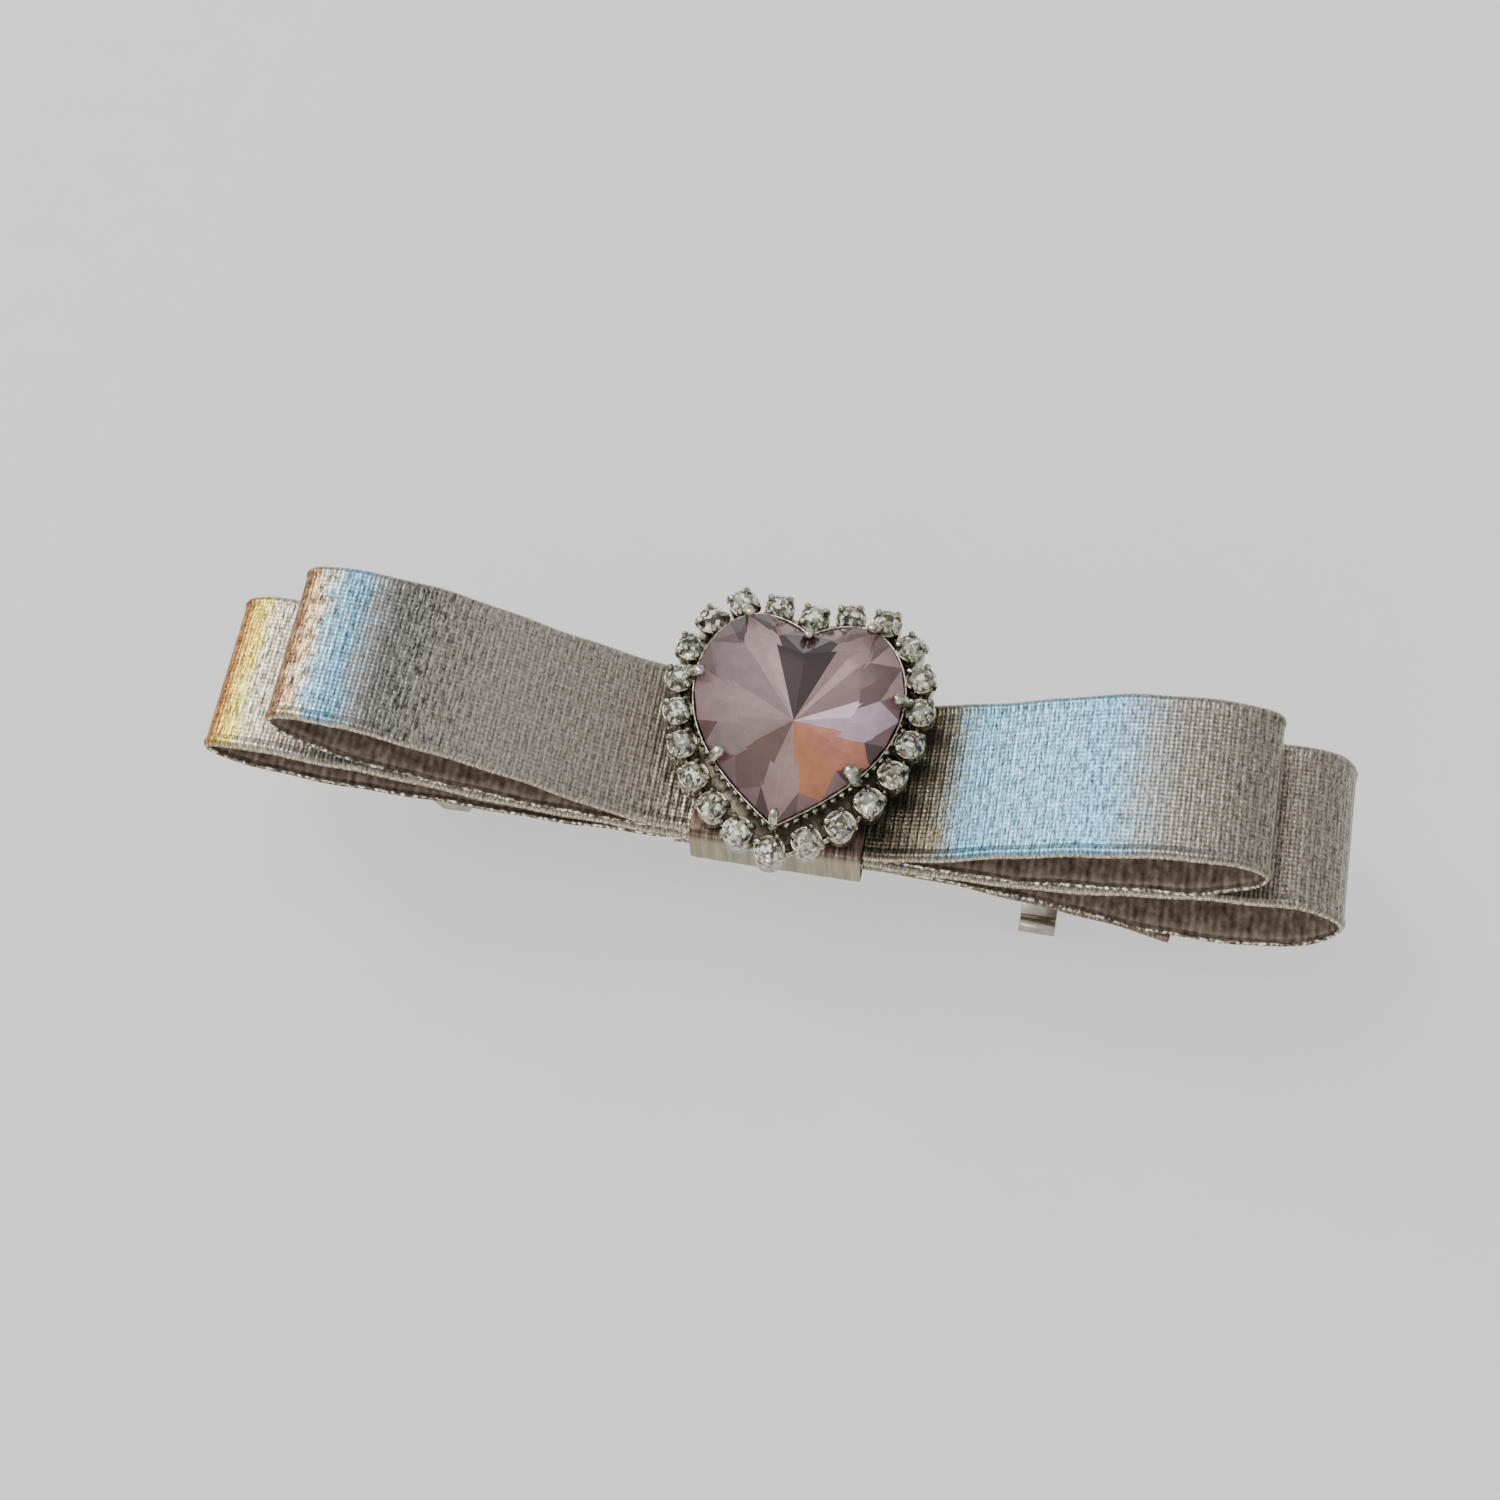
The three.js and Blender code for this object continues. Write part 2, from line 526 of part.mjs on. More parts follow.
const barrette = new THREE.Group();
clip.position.y = CLIP_BACK;
barrette.add(bow, clip, ornament);
barrette.position.set(ASSEMBLY_SHIFT[0], ASSEMBLY_SHIFT[1], 0);

export default barrette;
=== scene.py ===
"""The looks of a bow barrette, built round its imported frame.

Shapes are worked out in millimetres from the middle of the band that holds the bow: x along the bow,
y across the ribbon and z up from the surface that the clip stands on. place() turns them to metres.
"""

import math

import bmesh
import bpy
import numpy as np
from mathutils import Matrix, Vector


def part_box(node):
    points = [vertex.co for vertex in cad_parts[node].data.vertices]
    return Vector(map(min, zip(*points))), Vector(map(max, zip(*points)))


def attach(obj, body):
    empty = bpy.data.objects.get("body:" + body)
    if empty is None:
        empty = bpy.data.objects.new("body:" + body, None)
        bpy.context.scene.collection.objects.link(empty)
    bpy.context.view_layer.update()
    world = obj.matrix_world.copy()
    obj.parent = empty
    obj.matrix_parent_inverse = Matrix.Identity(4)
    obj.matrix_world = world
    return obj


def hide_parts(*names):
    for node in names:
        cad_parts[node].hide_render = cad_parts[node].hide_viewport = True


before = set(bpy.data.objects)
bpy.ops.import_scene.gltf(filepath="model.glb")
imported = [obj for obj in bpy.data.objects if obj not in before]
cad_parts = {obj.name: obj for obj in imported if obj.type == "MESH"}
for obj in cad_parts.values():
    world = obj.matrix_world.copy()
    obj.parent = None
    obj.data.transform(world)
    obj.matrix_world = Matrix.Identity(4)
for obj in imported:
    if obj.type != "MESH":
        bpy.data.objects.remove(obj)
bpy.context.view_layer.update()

MM = 0.001
BAND_LOW, BAND_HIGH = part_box("wrap_band")
MIDDLE = np.array([(BAND_LOW.x + BAND_HIGH.x) / 2, (BAND_LOW.y + BAND_HIGH.y) / 2, 0.0])

# ribbon
RIBBON_WIDTH = 16.0
RIBBON_THICK = 0.34
CAD_THICK = 0.4
GAP = 0.3
LAYER = CAD_THICK + GAP
BAND_HALF = 8.0
BAND_TOP = BAND_HIGH.z / MM
BAND_BOTTOM = BAND_LOW.z / MM
RIBBON_TOP = BAND_TOP - CAD_THICK - GAP
UPPER_MID = RIBBON_TOP - CAD_THICK / 2 - LAYER / 2
LOWER_MID = UPPER_MID - 2 * LAYER
TAIL_TOP = LOWER_MID - LAYER / 2 - CAD_THICK / 2 - GAP
TAIL_LEFT, TAIL_RIGHT = -9.5, 36.2
PLATE_ARCH = 0.0076
RIB_PITCH = 0.8                 # spacing of the ribbon's cross ribs, two yarns to each
RIB_HEIGHT = 0.012              # lift of a rib out in the loops
GATHERED_RIB = 0.03             # and its extra lift beside the band
GATHER_REACH = 11.0             # over about this distance from the middle
YARN_PITCH = 0.41               # spacing of the warp yarns that cross the ribs
EDGE_INSET = 0.15               # the cloth stops this far inside the ribbon's solid
CORD_WIDTH, CORD_LIFT = 0.9, 0.16
ROLL_WIDTH, ROLL_DROP = 0.7, 0.22
BAND_THICK = 0.3
BOW_SPAN = 53.0                 # a ramp along the bow runs this far either side of its middle

# grain of the cloth, in cells for each rib along and each millimetre across
WANDER = (0.5, 0.45, 1)
GLINTS = (3.2, 2.6, 1)
FLECKS = (2.2, 0.8, 1)
BLOTCHES = (0.9, 0.7, 1)
BAND_STREAKS = (0.12, 2.0, 1.0)  # cells for each millimetre round the band and across it

# reach, rise of the end, sag, half height, and how far along the lobe is fullest
UPPER_LOBES = {"left": (45.4, 10.0, 0.0, 3.5, 0.69), "right": (42.8, 8.2, 0.0, 4.0, 0.66)}
LOWER_LOBES = {"left": (52.8, 3.9, 0.5, 2.0, 0.85), "right": (50.4, 1.45, 1.9, 4.6, 0.85)}

# ornament
GIRDLE = 20.6
CROWN = 2.7
PAVILION = 2.3
GIRDLE_HALF = 0.2
HEART_MIDDLE = np.array([0.0, 2.2])
STONE_RADIUS = 1.24
LEAD_GLASS_IOR = 1.56
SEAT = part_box("cup_chain")[0].z / MM
CLAWS = ((0, 0.9), (0.13, 1.5), (0.27, 1.1), (0.4, 1.2),        # share of the outline, and size
         (0.5, 0.9), (0.6, 1.0), (0.73, 1.2), (0.87, 1.2))
STONES = sorted(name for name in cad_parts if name.startswith("chain_stone"))


# ------------------------------------------------------------------ mesh helpers
def place(points):
    """Bow millimetres to frame metres."""
    return np.asarray(points, float) * MM + MIDDLE


def new_object(name, points, faces, materials, uvs=None, slots=None, smooth=True):
    """An object from points in bow millimetres and a list of faces; slots gives each face's material."""
    mesh = bpy.data.meshes.new(name)
    mesh.from_pydata(place(points).tolist(), [], [tuple(int(i) for i in f) for f in faces])
    for finish in materials:
        mesh.materials.append(finish)
    if slots is not None:
        mesh.polygons.foreach_set("material_index", np.asarray(slots, np.int32))
    mesh.polygons.foreach_set("use_smooth", np.full(len(mesh.polygons), smooth))
    if uvs is not None:
        corners = np.empty(len(mesh.loops), np.int32)
        mesh.loops.foreach_get("vertex_index", corners)
        layer = mesh.uv_layers.new(name="surface_mm")
        layer.data.foreach_set("uv", np.asarray(uvs, np.float32)[corners].ravel())
    mesh.update()
    obj = bpy.data.objects.new(name, mesh)
    bpy.context.scene.collection.objects.link(obj)
    return obj


def grid_faces(rows, columns, close_rows=False, close_columns=False):
    """Quads of a grid of points numbered row by row, joined round where asked."""
    i = np.arange(rows if close_rows else rows - 1)
    j = np.arange(columns if close_columns else columns - 1)
    a, b = np.meshgrid(i, j, indexing="ij")
    a, b = a.ravel(), b.ravel()
    a1, b1 = (a + 1) % rows, (b + 1) % columns
    return np.stack([a * columns + b, a1 * columns + b, a1 * columns + b1, a * columns + b1], 1)


def merged(parts):
    """Several (points, faces) as one: the points stacked and each face's numbers moved up."""
    points, faces, start = [], [], 0
    for part_points, part_faces in parts:
        points.append(np.asarray(part_points, float))
        faces += [tuple(int(i) + start for i in face) for face in part_faces]
        start += len(part_points)
    return np.vstack(points), faces


def tube(path, radii, sides, flat=1.0):
    """A round bar along a path: at each point a ring of the given radius, square to the path, closed at
    both ends by a point. flat squashes the ring along its second direction."""
    path = np.asarray(path, float)
    along = np.gradient(path, axis=0)
    along /= np.linalg.norm(along, axis=1, keepdims=True)
    across = np.cross(along, [0.0, 0.0, 1.0])
    weak = np.linalg.norm(across, axis=1) < 0.2
    across[weak] = np.cross(along[weak], [0.0, 1.0, 0.0])
    across /= np.linalg.norm(across, axis=1, keepdims=True)
    up = np.cross(across, along)
    turn = np.linspace(0, 2 * math.pi, sides, endpoint=False)
    ring = (np.cos(turn)[None, :, None] * across[:, None, :]
            + flat * np.sin(turn)[None, :, None] * up[:, None, :])
    body = (path[:, None, :] + np.asarray(radii, float)[:, None, None] * ring).reshape(-1, 3)
    faces = [tuple(f) for f in grid_faces(len(path), sides, close_columns=True)]
    first, last = len(body), len(body) + 1
    base = (len(path) - 1) * sides
    faces += [(first, (i + 1) % sides, i) for i in range(sides)]
    faces += [(last, base + i, base + (i + 1) % sides) for i in range(sides)]
    return np.vstack([body, path[:1], path[-1:]]), faces


def outward(obj):
    """Makes every face of a closed piece point out."""
    work = bmesh.new()
    work.from_mesh(obj.data)
    bmesh.ops.recalc_face_normals(work, faces=work.faces)
    work.to_mesh(obj.data)
    work.free()


# ------------------------------------------------------------------ materials
def linear(hex_colour):
    """An sRGB hex colour as linear red, green, blue, alpha."""
    channels = [int(hex_colour[i:i + 2], 16) / 255 for i in (1, 3, 5)]
    return [c / 12.92 if c <= 0.04045 else ((c + 0.055) / 1.055) ** 2.4 for c in channels] + [1.0]


def grey(level):
    """The sRGB hex of a grey whose linear value is level, for a ramp that carries a number."""
    channel = level * 12.92 if level <= 0.0031308 else 1.055 * level ** (1 / 2.4) - 0.055
    return "#" + f"{round(255 * channel):02x}" * 3


def feed(tree, node, inputs):
    """Each input takes a plain value, another node's first output, or a chosen socket."""
    for key, value in inputs.items():
        source = value.outputs[0] if isinstance(value, bpy.types.Node) else value
        if isinstance(source, bpy.types.NodeSocket):
            tree.links.new(source, node.inputs[key])
        else:
            node.inputs[key].default_value = value


def add(tree, kind, inputs=(), stops=(), **settings):
    """A node with its settings and links: inputs by name or in order, a ramp's stops as (place, hex)."""
    node = tree.nodes.new("ShaderNode" + kind)
    for key, value in settings.items():
        setattr(node, key, value)
    feed(tree, node, inputs if isinstance(inputs, dict) else dict(enumerate(inputs)))
    while stops and len(node.color_ramp.elements) < len(stops):
        node.color_ramp.elements.new(0.5)
    for element, (where, colour) in zip(node.color_ramp.elements if stops else (), stops):
        element.position = where
        element.color = linear(colour)
    return node


def new_material(name, base):
    """A material with one Principled shader whose plain sockets are set from base."""
    finish = bpy.data.materials.new(name)
    finish.use_nodes = True
    tree = finish.node_tree
    tree.nodes.clear()
    shader = add(tree, "BsdfPrincipled", base)
    add(tree, "OutputMaterial", {"Surface": shader})
    return finish, tree, shader


def along_bow(millimetres):
    """A place along the bow as the 0 to 1 of a colour ramp that spans it."""
    return (millimetres + BOW_SPAN) / (2 * BOW_SPAN)


def lame(name, tones_and_painted_light):
    """Foil lame woven over cross ribs. The eye gets a soft grain of foil yarn crossing each rib, white sparks
    that are painted glints, short dark flecks where a yarn has turned, a corded selvedge painted with a
    bright highlight, and painted reflections in rainbow colours where the ribbon bends.
    tones_and_painted_light are (place along the bow in mm, colour, streak strength): the ribbon's tone with
    painted reflections and shade."""
    finish, tree, shader = new_material(name, {"Metallic": 0.85})
    surface = add(tree, "UVMap", uv_map="surface_mm")
    counts = add(tree, "SeparateXYZ", [surface])
    rib_count, across = counts.outputs["X"], counts.outputs["Y"]
    where = add(tree, "SeparateXYZ", [add(tree, "TexCoord").outputs["Object"]])

    # colour zones, tone with painted reflections and shade, whose edges wander by a millimetre or so
    wander = add(tree, "TexNoise", {"Vector": add(tree, "Mapping", {"Vector": surface, "Scale": WANDER}),
                                    "Scale": 1.0, "Detail": 5.0, "Roughness": 0.7})
    place_along = add(tree, "MapRange", {"Value": where.outputs["X"], "From Min": MIDDLE[0] - BOW_SPAN * MM,
                                         "From Max": MIDDLE[0] + BOW_SPAN * MM})
    centred = add(tree, "Math", [place_along, 0.025], operation="SUBTRACT")
    zone = add(tree, "Math", [wander, 0.05, centred], operation="MULTIPLY_ADD")
    tint = add(tree, "ValToRGB", [zone], stops=[(along_bow(x), colour) for x, colour, _ in tones_and_painted_light])
    strength = add(tree, "ValToRGB", [zone], stops=[(along_bow(x), grey(streak)) for x, _, streak in tones_and_painted_light])

    # weave: a rib of two yarns, the warp yarns across it, painted glints a third of a rib wide and longer
    # flecks
    turn = add(tree, "Math", [rib_count, 2 * math.pi], operation="MULTIPLY")
    rib = add(tree, "Math", [turn], operation="COSINE")
    pick = add(tree, "Math", [add(tree, "Math", [turn, 2], operation="MULTIPLY")], operation="COSINE")
    warp = add(tree, "Math", [across, 2 * math.pi / YARN_PITCH], operation="MULTIPLY")
    yarn = add(tree, "Math", [warp], operation="COSINE")
    glints = add(tree, "TexNoise", {"Vector": add(tree, "Mapping", {"Vector": surface, "Scale": GLINTS}),
                                    "Scale": 1.0, "Detail": 2.0, "Roughness": 0.8})
    flecks = add(tree, "TexNoise", {"Vector": add(tree, "Mapping", {"Vector": surface, "Scale": FLECKS}),
                                    "Scale": 1.0, "Detail": 3.0, "Roughness": 0.75})
    streak = add(tree, "Math", [add(tree, "Math", [flecks, 0.5], operation="SUBTRACT"), strength],
                 operation="MULTIPLY")
    spread = add(tree, "Math", [glints, 0.5], operation="SUBTRACT")
    level = 0.52
    for part, share in ((rib, 0.035), (pick, 0.055), (yarn, 0.03), (spread, 0.5), (streak, 2.2)):
        level = add(tree, "Math", [part, share, level], operation="MULTIPLY_ADD")
    shade = add(tree, "ValToRGB", [level],
                stops=[(0.12, "#2b2622"), (0.38, "#87827b"), (0.6, "#d3cfc9"), (0.82, "#ffffff")])
    foil = add(tree, "Mix", {"Factor": 1.0, 6: tint, 7: shade}, data_type="RGBA", blend_type="MULTIPLY")
    # white sparks mixed into the colour: painted glints
    painted_sparkle = add(tree, "ValToRGB", [glints], stops=[(0.56, "#000000"), (0.72, "#909090")])
    cloth = add(tree, "Mix", {"Factor": painted_sparkle, 6: foil.outputs[2], 7: linear("#fbfcf8")}, data_type="RGBA")

    # corded selvedge: the last 0.2 mm at each edge, painted with a bright highlight
    edge = add(tree, "MapRange", {"Value": add(tree, "Math", [across], operation="ABSOLUTE"),
                                  "From Min": RIBBON_WIDTH / 2 - 0.45, "From Max": RIBBON_WIDTH / 2 - 0.25})
    glint = add(tree, "ValToRGB", [glints], stops=[(0.3, "#665b47"), (0.5, "#a99c7f"), (0.68, "#f6ecd2")])
    colour = add(tree, "Mix", {"Factor": edge, 6: cloth.outputs[2], 7: glint}, data_type="RGBA")
    gloss = add(tree, "MapRange", {"Value": level, "To Min": 0.5, "To Max": 0.2})
    picks = add(tree, "Math", [pick, 0.3, glints], operation="MULTIPLY_ADD")
    relief = add(tree, "Math", [yarn, 0.2, picks], operation="MULTIPLY_ADD")
    bump = add(tree, "Bump", {"Strength": 0.7, "Distance": 0.05 * MM, "Height": relief})
    feed(tree, shader, {"Base Color": colour.outputs[2], "Roughness": gloss, "Normal": bump})
    return finish


def lame_back():
    """The unlit back of the lame: warm brown-grey ground with the ribs showing through."""
    finish, tree, shader = new_material("lame_back_brown", {"Metallic": 0.35, "Roughness": 0.42})
    surface = add(tree, "UVMap", uv_map="surface_mm")
    counts = add(tree, "SeparateXYZ", [surface])
    turn = add(tree, "Math", [counts.outputs["X"], 2 * math.pi], operation="MULTIPLY")
    rib = add(tree, "Math", [turn], operation="COSINE")
    blotch = add(tree, "TexNoise", {"Vector": add(tree, "Mapping", {"Vector": surface, "Scale": BLOTCHES}),
                                    "Scale": 1.0, "Detail": 4.0, "Roughness": 0.7})
    level = add(tree, "Math", [rib, 0.06, blotch], operation="MULTIPLY_ADD")
    colour = add(tree, "ValToRGB", [level], stops=[(0.3, "#54463c"), (0.5, "#8b796b"), (0.7, "#b9a898")])
    bump = add(tree, "Bump", {"Strength": 0.5, "Distance": 0.05 * MM, "Height": level})
    feed(tree, shader, {"Base Color": colour, "Normal": bump})
    return finish


def edge_yarn():
    """The cut of the selvedge: foil yarn ends 0.4 mm apart, mostly dull brown with painted pale gold glints.
    """
    finish, tree, shader = new_material("yarn_ends_painted_glints", {"Metallic": 0.7, "Roughness": 0.28})
    where = add(tree, "TexCoord").outputs["Object"]
    ends = add(tree, "TexNoise", {"Vector": where, "Scale": 2600.0, "Detail": 2.0})
    colour = add(tree, "ValToRGB", [ends], stops=[(0.38, "#4a4236"), (0.51, "#8b8069"), (0.62, "#fff6de")])
    feed(tree, shader, {"Base Color": colour})
    return finish


def satin_band():
    """The same foil ribbon turned so that its yarns run round the bow: smooth olive-taupe on its sides,
    painted shade on top, darker and redder, with pale painted glints, and fine yarn streaks 0.5 mm apart."""
    finish, tree, shader = new_material("taupe_foil_satin", {"Metallic": 0.6, "Roughness": 0.3})
    surface = add(tree, "UVMap", uv_map="surface_mm")
    where = add(tree, "SeparateXYZ", [add(tree, "TexCoord").outputs["Object"]])
    along = add(tree, "Mapping", {"Vector": surface, "Scale": BAND_STREAKS})
    streak = add(tree, "TexNoise", {"Vector": along, "Scale": 1.0, "Detail": 4.0, "Roughness": 0.7})
    # the top darker and redder than the sides: painted shade, with pale painted glints
    top = add(tree, "MapRange", {"Value": where.outputs["Z"], "From Min": BAND_HIGH.z - 0.9 * MM,
                                 "From Max": BAND_HIGH.z - 0.4 * MM})
    side_colour = add(tree, "ValToRGB", [streak],
                      stops=[(0.3, "#776e54"), (0.5, "#8f866a"), (0.72, "#aaa184")])
    top_painted_shade = add(tree, "ValToRGB", [streak],
                     stops=[(0.34, "#1e1410"), (0.47, "#4f392f"), (0.57, "#736658"), (0.72, "#c8bcae")])
    colour = add(tree, "Mix", {"Factor": top, 6: side_colour, 7: top_painted_shade}, data_type="RGBA")
    bump = add(tree, "Bump", {"Strength": 0.4, "Distance": 0.05 * MM, "Height": streak})
    feed(tree, shader, {"Base Color": colour.outputs[2], "Normal": bump})
    return finish


def plated_metal(name, colour, dark, roughness, speck):
    """Bright plating over a stamped or cast part: mirror-like, with faint handling marks speck mm across
    and a slightly duller cast in them."""
    finish, tree, shader = new_material(name, {"Metallic": 1.0})
    where = add(tree, "TexCoord").outputs["Object"]
    marks = add(tree, "TexNoise", {"Vector": where, "Scale": 1 / (speck * MM),
                                   "Detail": 5.0, "Roughness": 0.6})
    cast = add(tree, "ValToRGB", [marks], stops=[(0.35, dark), (0.6, colour)])
    gloss = add(tree, "MapRange", {"Value": marks, "From Min": 0.3, "From Max": 0.7,
                                   "To Min": roughness * 1.7, "To Max": roughness * 0.8})
    bump = add(tree, "Bump", {"Strength": 0.12, "Distance": 0.02 * MM, "Height": marks})
    feed(tree, shader, {"Base Color": cast, "Roughness": gloss, "Normal": bump})
    return finish


def cut_glass(name, tint):
    """Polished lead glass: clear, sharp facets that mirror the light at their edges."""
    return new_material(name, {"Base Color": linear(tint), "Roughness": 0.01, "IOR": LEAD_GLASS_IOR,
                               "Transmission Weight": 1.0})[0]


def foiled_crystal():
    """Small machine-cut brilliants with a foiled back: each throws back a broken mosaic of white sparks, warm
    champagne and near black, a painted reflection drawn as cells 0.35 mm across under a clear gloss."""
    finish, tree, shader = new_material("foiled_crystal_painted_reflections", {
        "Metallic": 0.5, "Roughness": 0.14, "Coat Weight": 0.5, "Coat Roughness": 0.03,
        "Coat IOR": LEAD_GLASS_IOR})
    where = add(tree, "TexCoord").outputs["Object"]
    mosaic = add(tree, "TexVoronoi", {"Vector": where, "Scale": 2900.0, "Randomness": 0.9})
    painted_sparkle = add(tree, "SeparateColor", {"Color": mosaic.outputs["Color"]})
    cell = add(tree, "ValToRGB", [painted_sparkle], stops=[(0.0, "#15130d"), (0.25, "#3f3b2c"), (0.5, "#7f7a62"),
                                                 (0.7, "#bcb69b"), (0.86, "#ffffff")])
    # each facet's painted reflection, a fixed colour
    painted_reflection = add(tree, "Attribute", attribute_name="facet_painted_reflection")
    colour = add(tree, "Mix", {"Factor": 0.2, 6: cell, 7: painted_reflection}, data_type="RGBA")
    feed(tree, shader, {"Base Color": colour.outputs[2]})
    return finish


def facet_foil(name, roughness):
    """The foil fused to the back of a glass stone: each facet holds a painted reflection, the tone that its
    own tilt throws back, with a faint ripple 1 mm across."""
    finish, tree, shader = new_material(name, {"Metallic": 0.15, "Roughness": roughness})
    # each facet's painted reflection, a fixed colour
    painted_reflection = add(tree, "Attribute", attribute_name="facet_painted_reflection")
    where = add(tree, "TexCoord").outputs["Object"]
    ripple = add(tree, "TexNoise", {"Vector": where, "Scale": 900.0, "Detail": 2.0})
    soft = add(tree, "ValToRGB", [ripple], stops=[(0.3, "#d8d8d8"), (0.7, "#ffffff")])
    colour = add(tree, "Mix", {"Factor": 0.6, 6: painted_reflection, 7: soft}, data_type="RGBA", blend_type="MULTIPLY")
    feed(tree, shader, {"Base Color": colour.outputs[2]})
    return finish


def backdrop():
    """Matt pale grey film lit from behind, which keeps the shadow on it faint."""
    finish, tree, shader = new_material("pale_film", {
        "Roughness": 0.9, "Specular IOR Level": 0.1, "Emission Color": linear("#fffffe"),
        "Emission Strength": 0.68})
    where = add(tree, "TexCoord").outputs["Object"]
    fibre = add(tree, "TexNoise", {"Vector": where, "Scale": 220.0, "Detail": 3.0})
    colour = add(tree, "ValToRGB", [fibre], stops=[(0.3, "#999999"), (0.7, "#9b9b9b")])
    feed(tree, shader, {"Base Color": colour})
    return finish


# ------------------------------------------------------------------ ribbon bow
def smooth_step(t):
    """Three t squared less two t cubed, which starts and ends level."""
    return t * t * (3 - 2 * t)


def lobe_line(lobe, mid, t):
    """Distance from the middle, mid height and half height of a lobe at t (0 at the band, 1 at its end). It
    leaves the band level, rises as t squared over t plus a little, swells to its fullest and closes with half
    an ellipse."""
    reach, rise, dip, half, full = lobe
    height = mid + 1.15 * rise * t * t / (t + 0.15) - 4 * dip * t * (1 - t)
    swelling = LAYER / 2 + (half - LAYER / 2) * smooth_step(np.minimum(t / full, 1))
    closing = half * np.sqrt(np.clip(1 - ((t - full) / (1 - full)) ** 2, 0, 1))
    return BAND_HALF + (reach - BAND_HALF) * t, height, np.where(t <= full, swelling, closing)


def tail_height(x):
    """Top of the ribbon's loose end: flat under the band, then falling with the square of the distance."""
    return TAIL_TOP - PLATE_ARCH * np.maximum(0, np.abs(x) - BAND_HALF) ** 2


def lower_floor(x):
    """The lower loop lies on the loose end, or just over the clip's plate."""
    return np.where(np.abs(x) < TAIL_RIGHT + 1, tail_height(x) + CAD_THICK / 2 + GAP, -np.inf)


def upper_floor(x):
    """The upper loop lies on top of the lower one."""
    heights = np.full(len(x), -np.inf)
    for side, lobe in (("left", LOWER_LOBES["left"]), ("right", LOWER_LOBES["right"])):
        t = (np.abs(x) - BAND_HALF) / (lobe[0] - BAND_HALF)
        here = (x < 0) == (side == "left")
        _, mid, half = lobe_line(lobe, LOWER_MID, np.clip(t, 0, 1))
        heights = np.where(here & (t < 1), mid + half, heights)
    return heights + LAYER + 0.25


def loop_line(lobes, mid, floor):
    """The closed centre line of a loop in x and z: out along the right lobe's top, back along its bottom, and
    the same on the left."""
    line = []
    for side, sign in (("right", 1), ("left", -1)):
        full = lobes[side][4]
        t = np.concatenate([full * np.linspace(0, 1, 60, endpoint=False),
                            full + (1 - full) * np.sin(np.linspace(0, math.pi / 2, 60))])
        distance, height, half = lobe_line(lobes[side], mid, t)
        x = sign * distance
        top = np.stack([x, height + half], 1)
        bottom = np.stack([x, np.maximum(height - half, np.minimum(floor(x), height))], 1)
        line.append(np.vstack([top, bottom[::-1][1:]]) if sign > 0 else np.vstack([bottom, top[::-1][1:]]))
    return np.vstack(line)


def even_line(line, step, closed):
    """The line walked in equal steps; returns the points, their outward directions and the step lengths."""
    if closed:
        line = np.vstack([line, line[:1]])
    lengths = np.concatenate([[0], np.cumsum(np.hypot(*np.diff(line, axis=0).T))])
    count = int(round(lengths[-1] / step))
    walk = np.linspace(0, lengths[-1], count, endpoint=not closed)
    points = np.stack([np.interp(walk, lengths, line[:, k]) for k in range(2)], 1)
    if closed:
        along = np.roll(points, -2, 0) - np.roll(points, 2, 0)
    else:
        along = np.gradient(points, axis=0)
    along /= np.linalg.norm(along, axis=1, keepdims=True)
    return points, np.stack([-along[:, 1], along[:, 0]], 1), walk, lengths[-1]


def ribbon(name, line, closed, width, finishes, seed=1.0):
    """A woven ribbon carried along a side-view line: each point steps along the line in a quarter of a rib,
    lifts by a cosine of one rib that grows beside the band, and runs straight across. A corded edge swells by
    half a sine and rolls down by a square, and the edges draw in and out by two slow waves. The UV map counts
    ribs along and millimetres across."""
    points, out, walk, length = even_line(line, RIB_PITCH / 4, closed)
    after = np.roll(points, -1, 0)
    if closed and np.sum(points[:, 0] * after[:, 1] - points[:, 1] * after[:, 0]) > 0:
        out = -out
    ribs = round(length / RIB_PITCH) * walk / length
    half = width / 2 - EDGE_INSET
    corded = np.array([0.0, 0.12, 0.3, 0.5, 0.72, CORD_WIDTH])
    flat = half - CORD_WIDTH - 0.4
    across = np.concatenate([-half + corded, np.linspace(-flat, flat, 12), (half - corded)[::-1]])
    from_edge = half - np.abs(across)
    cord = (CORD_LIFT * np.sin(np.pi * np.clip(from_edge / CORD_WIDTH, 0, 1))
            - ROLL_DROP * np.clip(1 - from_edge / ROLL_WIDTH, 0, 1) ** 2)
    beside_band = np.clip(1.6 - np.abs(points[:, 0]) / GATHER_REACH, 0, 1)
    rib = (RIB_HEIGHT + GATHERED_RIB * beside_band) * np.cos(2 * math.pi * ribs)
    edge_wave = 0.08 * np.sin(walk * 0.31 + seed) + 0.05 * np.sin(walk * 0.83 + 2 * seed)
    lift = rib[:, None] + cord[None, :]
    x = points[:, 0, None] + out[:, 0, None] * lift
    z = points[:, 1, None] + out[:, 1, None] * lift
    y = across[None, :] + edge_wave[:, None] * (across[None, :] / half) ** 3
    uv = np.stack(np.broadcast_arrays(ribs[:, None], across[None, :]), 2).reshape(-1, 2)
    spread = np.stack([x, y, z], 2).reshape(-1, 3)
    faces = grid_faces(len(walk), len(across), close_rows=closed)
    seam = closed and faces[:, [1, 2]].max(axis=1) < faces[:, [0, 3]].min(axis=1)
    obj = new_object(name, spread, faces, finishes, uvs=uv)
    if closed:
        close_uv(obj, np.flatnonzero(seam), round(length / RIB_PITCH))
    shell = obj.modifiers.new("cloth", "SOLIDIFY")
    shell.thickness = RIBBON_THICK * MM
    shell.offset = 0.0
    shell.material_offset = 1
    shell.material_offset_rim = 2
    return obj, length


